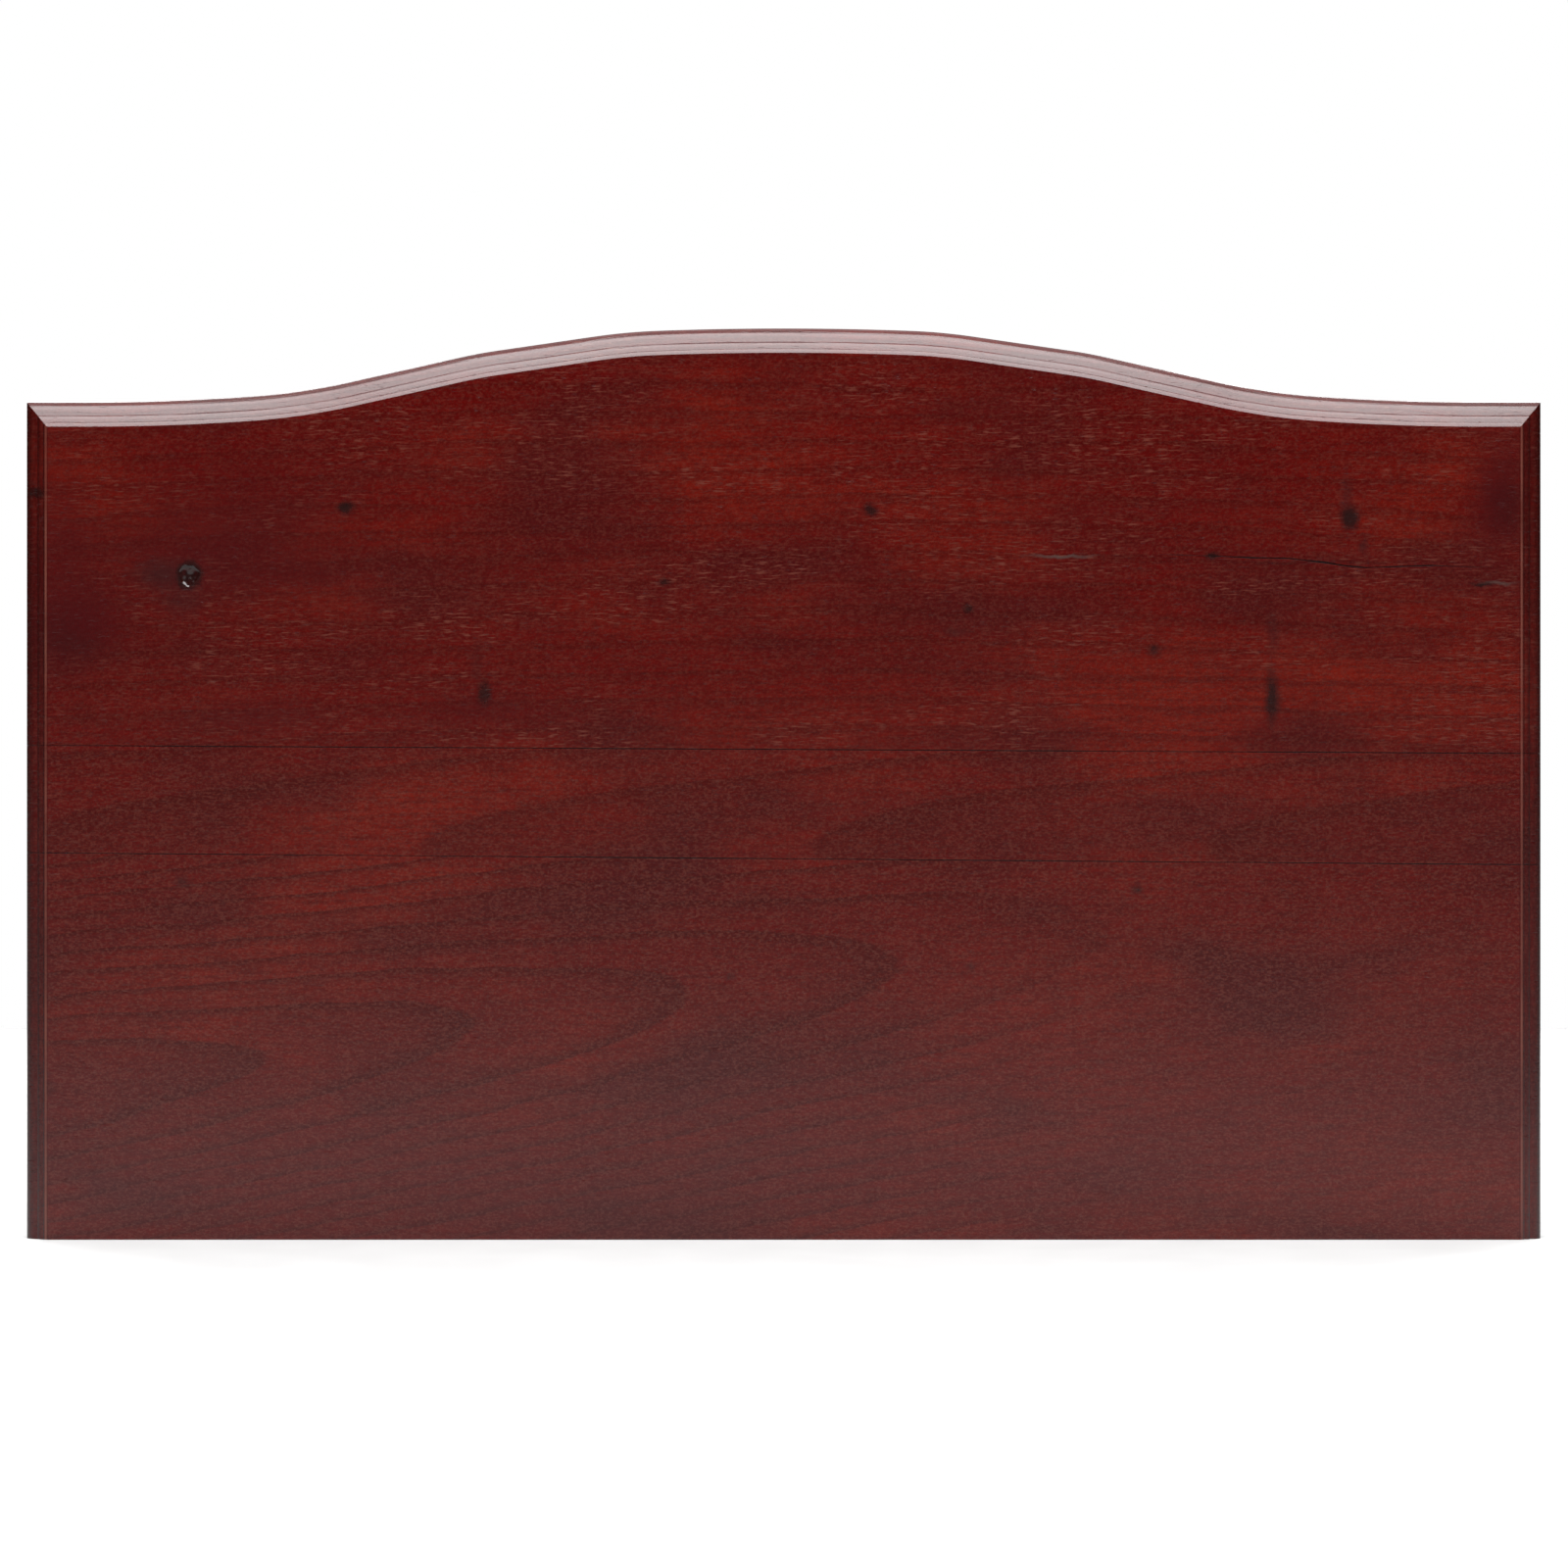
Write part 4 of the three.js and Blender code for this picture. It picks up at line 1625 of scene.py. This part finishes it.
@dataclass
class Hanger:
    """A folded brass strap with its D-ring and its two pan-head screws."""

    side: Side
    sheet: float = 1 * MM
    fold_gap: float = 0.3 * MM
    eye_wrap: float = math.radians(218)
    eye_inner: float = 1.6 * MM
    wire: float = 1.3 * MM
    drawn_wire: float = 1.29 * MM
    ring_half_width: float = 9.5 * MM
    ring_corner: float = 2.8 * MM
    ring_drop: float = 15.5 * MM
    screw_clearance: float = 0.3 * MM
    thread: float = 1.75 * MM
    core: float = 1.25 * MM
    pitch: float = 2.2 * MM
    tip: float = 3 * MM
    head: float = 3.4 * MM
    head_height: float = 2 * MM
    head_rim: float = 0.8 * MM
    head_arris: float = 0.15 * MM
    shank_step: float = 0.4 * MM
    tip_radius: float = 0.12 * MM
    recess_width: float = 0.9 * MM
    recess_span: float = 3.6 * MM
    recess_depth: float = 1.1 * MM
    recess_taper: float = 0.72
    eye_flats: int = 20
    softened: float = 0.14 * MM
    ring_gap: float = 0.3 * MM
    bore_length: float = 40 * MM
    cutter_reach: float = 5 * MM

    def __post_init__(self) -> None:
        """Reads the hanger's place from the frame."""
        low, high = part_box(self.node("strap"))
        joint = next(j for j in frame["joints"] if j["name"] == f"{self.side.value}_ring_swing")
        self.eye = Vector(joint["pos_m"])
        self.back = low.y
        self.drop = self.eye.z - low.z
        self.half_width = (high.x - low.x) / 2
        self.screws = {place: self.node(f"screw_{place}") for place in ("upper", "lower")}

    def node(self, piece: str) -> str:
        """The CAD node of one of the hanger's pieces."""
        return f"{self.side.value}_hanger_{piece}"

    def _middle_line(self) -> list[Vector]:
        """The middle of the folded sheet.

        Returns:
            Its points, as Y and Z from the board's back at the eye's height.
        """
        middle = self.eye_inner + self.sheet / 2
        eye_y = self.eye.y - self.back
        line = [Vector((self.sheet / 2, -self.drop))]
        for i in range(self.eye_flats + 1):
            angle = self.eye_wrap * i / self.eye_flats
            line.append(Vector((eye_y - middle * math.cos(angle), middle * math.sin(angle))))
        layer = self.sheet * 1.5 + self.fold_gap
        last = line[-1]
        run = (last.x - layer) / -math.sin(self.eye_wrap)
        line.append(Vector((layer, last.y + math.cos(self.eye_wrap) * run)))
        line.append(Vector((layer, -self.drop)))
        return line

    @staticmethod
    def _sideways(line: Sequence[Vector], distance: float) -> list[Vector]:
        """Moves each point of a line sideways and keeps its corners at their mitre.

        Args:
            line: the points.
            distance: how far they move, to the left of the line's own way.

        Returns:
            The moved points.
        """
        moved = []
        for i, point in enumerate(line):
            into = (point - line[i - 1]).normalized() if i else (line[1] - point).normalized()
            away = (line[i + 1] - point).normalized() if i + 1 < len(line) else into
            left = Vector((-into.y, into.x))
            bisector = Vector((-into.y - away.y, into.x + away.x)).normalized()
            moved.append(point + bisector * (distance / bisector.dot(left)))
        return moved

    def _round_end(self) -> bpy.types.Object:
        """Makes a cutter that leaves the strap's lower end round.

        Returns:
            The cutter.
        """
        bottom = self.eye.z - self.drop
        low_x = self.eye.x - self.half_width
        high_x = self.eye.x + self.half_width
        beyond = self.cutter_reach
        centre = bottom + self.half_width
        outline = [
            *arc((self.eye.x, centre), self.half_width, 180, 180, 40),
            (high_x + beyond, centre),
            (high_x + beyond, bottom - beyond),
            (low_x - beyond, bottom - beyond),
            (low_x - beyond, centre),
        ]
        mesh = bmesh.new()
        plate(mesh, outline, self.back - beyond, self.eye.y + beyond)
        return new_piece("round_end", tidy_normals(mesh))

    def _strap(self, finish: bpy.types.Material) -> None:
        """Makes the folded strap with a rounded end, two holes and softened edges.

        Args:
            finish: its material.
        """
        line = self._middle_line()
        outline = self._sideways(line, self.sheet / 2) + self._sideways(line, -self.sheet / 2)[::-1]
        mesh = bmesh.new()
        loft(mesh, [
            [Vector((x, self.back + point.x, self.eye.z + point.y)) for point in outline]
            for x in (self.eye.x - self.half_width, self.eye.x + self.half_width)
        ])
        piece = new_piece(f"{self.side.value}_strap_brass", tidy_normals(mesh))
        piece.data.materials.append(finish)
        carve(piece, self._round_end())
        holes = bmesh.new()
        for node in self.screws.values():
            low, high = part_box(node)
            rod(holes, (low + high) / 2, "Y", self.thread + self.screw_clearance, self.bore_length)
        carve(piece, new_piece("holes", tidy_normals(holes)))
        bevel = piece.modifiers.new("soften", "BEVEL")
        bevel.width = self.softened
        bevel.segments = 2
        bevel.limit_method = "ANGLE"
        bevel.angle_limit = math.radians(50)
        settle(piece)
        shade(piece, 35)
        enter(piece, Body.PANEL, Slot.HANGER, self.node("strap"))

    def _ring(self, sweep: "WireSweep", finish: bpy.types.Material) -> None:
        """Makes the D-ring, leaning on the strap as it hangs.

        Args:
            sweep: bends its wire.
            finish: its material.
        """
        strap_front = 2 * self.sheet + self.fold_gap + self.back
        lean = math.asin((strap_front + self.ring_gap + self.wire - self.eye.y) / self.ring_drop)
        straight = self.ring_half_width - self.ring_corner
        bow_centre = (0.0, self.ring_drop - self.ring_half_width)
        path = [
            *evenly((-straight, 0.0), (straight, 0.0), 12),
            *arc((straight, self.ring_corner), self.ring_corner, -90, 90, 10),
            *arc(bow_centre, self.ring_half_width, 0, 180, 56),
            *arc((-straight, self.ring_corner), self.ring_corner, 180, 90, 10)[:-1],
        ]
        points = [
            Vector((
                self.eye.x + across,
                self.eye.y + down * math.sin(lean),
                self.eye.z - down * math.cos(lean),
            ))
            for across, down in path
        ]
        piece = sweep.bend(f"{self.side.value}_ring_brass", points, self.drawn_wire, finish)
        shade(piece, 60)
        body = Body.LEFT_RING if self.side is Side.LEFT else Body.RIGHT_RING
        enter(piece, body, Slot.HANGER, self.node("ring"))

    def _screw_profile(self, length: float) -> list[Point]:
        """A screw's profile from its tip to the top of its head, which starts at height 0.

        Args:
            length: how far the tip is under the head.

        Returns:
            The profile's points.
        """
        grip = 2 * self.sheet + self.fold_gap
        cone_end = self.tip - length
        shank_start = self.shank_step - grip
        dome = self.head_height - self.head_rim
        return [
            (0.0, -length),
            *evenly((self.tip_radius, -length), (self.core, cone_end), 16),
            *evenly((self.core, cone_end), (self.core, -grip), 60),
            *evenly((self.core, -grip), (self.thread, shank_start), 3),
            (self.thread, shank_start),
            (self.thread, -0.1 * MM),
            *evenly((self.head - self.head_arris, 0.0), (self.head, self.head_arris), 3),
            (self.head, self.head_arris),
            *quarter_round(self.head, self.head_height, self.head, dome, 18)[:-1],
            (0.0, self.head_height),
        ]

    def _recess(self, top: Vector, turned: float) -> bpy.types.Object:
        """Makes a cutter for the cross recess, narrower at its bottom.

        Args:
            top: the middle of the head's top.
            turned: how far the cross is turned, in radians.

        Returns:
            The cutter.
        """
        mesh = bmesh.new()
        size = Matrix.Diagonal((self.recess_span, 2 * self.recess_depth, self.recess_width, 1.0))
        for arm in (0, 1):
            turn = Matrix.Rotation(turned + arm * math.pi / 2, 4, "Y")
            place = Matrix.Translation(top) @ turn @ size
            for vert in bmesh.ops.create_cube(mesh, size=1.0, matrix=place)["verts"]:
                if vert.co.y < top.y:
                    middle = Vector((top.x, vert.co.y, top.z))
                    vert.co = middle + (vert.co - middle) * self.recess_taper
        return new_piece("recess", tidy_normals(mesh))

    def _screw(self, lathe: Lathe, node: str, turned: float, finish: bpy.types.Material) -> None:
        """Makes one pan-head screw.

        Args:
            lathe: turns it.
            node: its CAD node.
            turned: how far its recess is turned, in radians.
            finish: its material.
        """
        low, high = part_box(node)
        seat = high.y - self.head_height
        length = seat - low.y
        place = Vector(((low.x + high.x) / 2, seat, (low.z + high.z) / 2))
        piece = lathe.turn(
            f"{node}_brass",
            self._screw_profile(length),
            finish,
            Sides=40,
            Thread_Pitch=self.pitch,
            Thread_Depth=self.thread - self.core,
            Thread_From=-length,
            Thread_To=-(2 * self.sheet + self.fold_gap),
            Lay=(0.0, turned, 0.0),
            Place=place,
        )
        cutter = self._recess(place + Vector((0.0, self.head_height, 0.0)), turned)
        modifier = piece.modifiers.new("recess", "BOOLEAN")
        modifier.solver = "EXACT"
        modifier.use_self = True
        modifier.object = cutter
        settle(piece)
        bpy.data.objects.remove(cutter)
        shade(piece, 38)
        enter(piece, Body.PANEL, Slot.SCREW, node)

    def build(
        self, lathe: Lathe, sweep: "WireSweep", brass: bpy.types.Material, bright: bpy.types.Material
    ) -> None:
        """Makes the strap, the ring and the screws.

        Args:
            lathe: turns the screws.
            sweep: bends the ring.
            brass: the strap's and ring's material.
            bright: the screws' material.
        """
        self._strap(brass)
        self._ring(sweep, brass)
        turns = {"upper": 0.35, "lower": 1.1}
        shift = 0.0 if self.side is Side.LEFT else 0.5
        for place, node in self.screws.items():
            self._screw(lathe, node, turns[place] + shift, bright)


class WireSweep:
    """A Geometry Nodes tree that runs a round wire along a closed path."""

    def __init__(self) -> None:
        """Builds the tree."""
        bench = GeometryBench("wire_sweep")
        radius = bench.take("Wire Radius")
        sides = bench.take("Sides", "NodeSocketInt")
        path = bench.flow("GeometryNodeMeshToCurve", {"Mesh": bench.geometry})
        circle = {"Resolution": sides, "Radius": radius}
        profile = bench.flow("GeometryNodeCurvePrimitiveCircle", circle, mode="RADIUS")
        wire = bench.flow("GeometryNodeCurveToMesh", {"Curve": path, "Profile Curve": profile})
        bench.give(wire)
        self.bench = bench

    def bend(
        self, name: str, points: Sequence[Vector], radius: float, finish: bpy.types.Material
    ) -> bpy.types.Object:
        """Bends one wire.

        Args:
            name: the piece's name.
            points: the middle of the wire, round the whole ring.
            radius: the wire's radius.
            finish: its material.

        Returns:
            The piece.
        """
        mesh = bmesh.new()
        verts = [mesh.verts.new(point) for point in points]
        for i, vert in enumerate(verts):
            mesh.edges.new((vert, verts[(i + 1) % len(verts)]))
        return self.bench.run(new_piece(name, mesh), Wire_Radius=radius, Sides=24, Finish=finish)


# ---- Floor, light and camera ----


@dataclass
class Studio:
    """A pale floor, a softbox overhead and in front, soft light behind, and the camera."""

    floor_radius: float = 1.8
    softbox_size: Point = (1.3, 1.24)
    softbox_place: Triple = (0.0, -0.975, 1.57)
    softbox_watts: float = 64.0
    overhead_size: Point = (2.6, 2.6)
    overhead_place: Triple = (0.0, 0.1, 2.0)
    overhead_watts: float = 42.0
    back_size: Point = (0.9, 0.9)
    back_place: Triple = (0.9, 1.5, 1.0)
    back_watts: float = 30.0
    distance: float = 2.0
    field_width: float = 0.62165
    outline_depth: float = -2.6 * MM
    camera_shift: Point = (0.12 * MM, -0.26 * MM)

    def _aimed_light(self, name: str, place: Vector, target: Vector, size: Point, watts: float) -> None:
        """Adds a soft rectangular light.

        Args:
            name: its name.
            place: where it hangs.
            target: what it is turned to.
            size: its width and height.
            watts: its power.
        """
        light = bpy.data.lights.new(name, "AREA")
        light.shape = "RECTANGLE"
        light.size, light.size_y = size
        light.energy = watts
        lamp = bpy.data.objects.new(name, light)
        lamp.location = place
        lamp.rotation_mode = "QUATERNION"
        lamp.rotation_quaternion = (target - place).to_track_quat("-Z", "Y")
        lamp.visible_camera = False
        bpy.context.scene.collection.objects.link(lamp)

    def _floor(self) -> None:
        """Makes the pale floor that the plaque stands on."""
        mesh = bmesh.new()
        bmesh.ops.create_circle(mesh, cap_ends=True, segments=128, radius=self.floor_radius)
        floor = new_piece("floor", mesh)
        bench = ShaderBench("pale_floor")
        grit = bench.noise(bench.place(), (30.0, 30.0, 30.0), 3.0)
        colour = bench.mix(bench.ease(grit, 0.3, 0.7), (0.50, 0.50, 0.50), (0.52, 0.52, 0.52))
        roughness = bench.ease(grit, 0.3, 0.7, 0.7, 0.8)
        relief = bench.bump(grit, 0.05 * MM)
        floor.data.materials.append(bench.finish(colour, roughness, relief, Specular_IOR_Level=0.1))

    def _world(self) -> None:
        """Makes the surroundings: dim above, pale below, and white behind everything."""
        world = bpy.data.worlds.new("studio")
        world.use_nodes = True
        bpy.context.scene.world = world
        bench = Bench(world.node_tree)
        height = bench.split(bench.flow("ShaderNodeTexCoord", out="Generated"))[2]
        pale = bench.ease(height, -0.09, 0.01, 0.85, 0.0)
        seen = bench.flow("ShaderNodeLightPath", out="Is Camera Ray")
        strength = pale * (1.0 - seen) + seen
        white = {"Color": (1.0, 1.0, 1.0, 1.0), "Strength": strength}
        bench.node("ShaderNodeOutputWorld", {"Surface": bench.flow("ShaderNodeBackground", white)})

    def _camera(self) -> None:
        """Sets up the camera square to the face, at the panel's mid-height."""
        low, high = CAD_BOX
        camera = bpy.data.cameras.new("camera")
        camera.sensor_width = 36.0
        camera.lens = camera.sensor_width * self.distance / self.field_width
        eye = bpy.data.objects.new("camera", camera)
        across, up = self.camera_shift
        eye.location = (across, self.outline_depth - self.distance, (low.z + high.z) / 2 + up)
        eye.rotation_euler = (math.radians(90), 0.0, 0.0)
        bpy.context.scene.collection.objects.link(eye)
        bpy.context.scene.camera = eye

    def build(self) -> None:
        """Makes the floor, the lights, the surroundings and the camera."""
        low, high = CAD_BOX
        middle = (low + high) / 2
        self._floor()
        self._world()
        softbox = Vector(self.softbox_place)
        self._aimed_light("softbox", softbox, middle, self.softbox_size, self.softbox_watts)
        above = Vector(self.overhead_place)
        under = Vector((above.x, above.y, 0.0))
        self._aimed_light("overhead", above, under, self.overhead_size, self.overhead_watts)
        across, behind, height = self.back_place
        for name, x in (("back_left", -across), ("back_right", across)):
            self._aimed_light(name, Vector((x, behind, height)), middle, self.back_size, self.back_watts)
        self._camera()
        bpy.context.scene.view_settings.view_transform = "Standard"


def main() -> None:
    """Builds the plaque and its studio in order."""
    logging.basicConfig(level=logging.INFO, format="%(name)s: %(message)s")
    lathe = Lathe()
    sweep = WireSweep()
    panel = Panel()
    panel.build(StainedWood(), Shadow().make())
    Dowels().build(lathe, panel.joints)
    brass = AgedBrass("aged_brass").make()
    bright = AgedBrass("screw_brass", metal=(0.74, 0.52, 0.20), lines=(700.0, 2600.0, 700.0)).make()
    for side in Side:
        Hanger(side).build(lathe, sweep, brass, bright)
    Bumpers().build(lathe)
    Studio().build()
    log.info("boxes written")


if __name__ == "__main__":
    main()
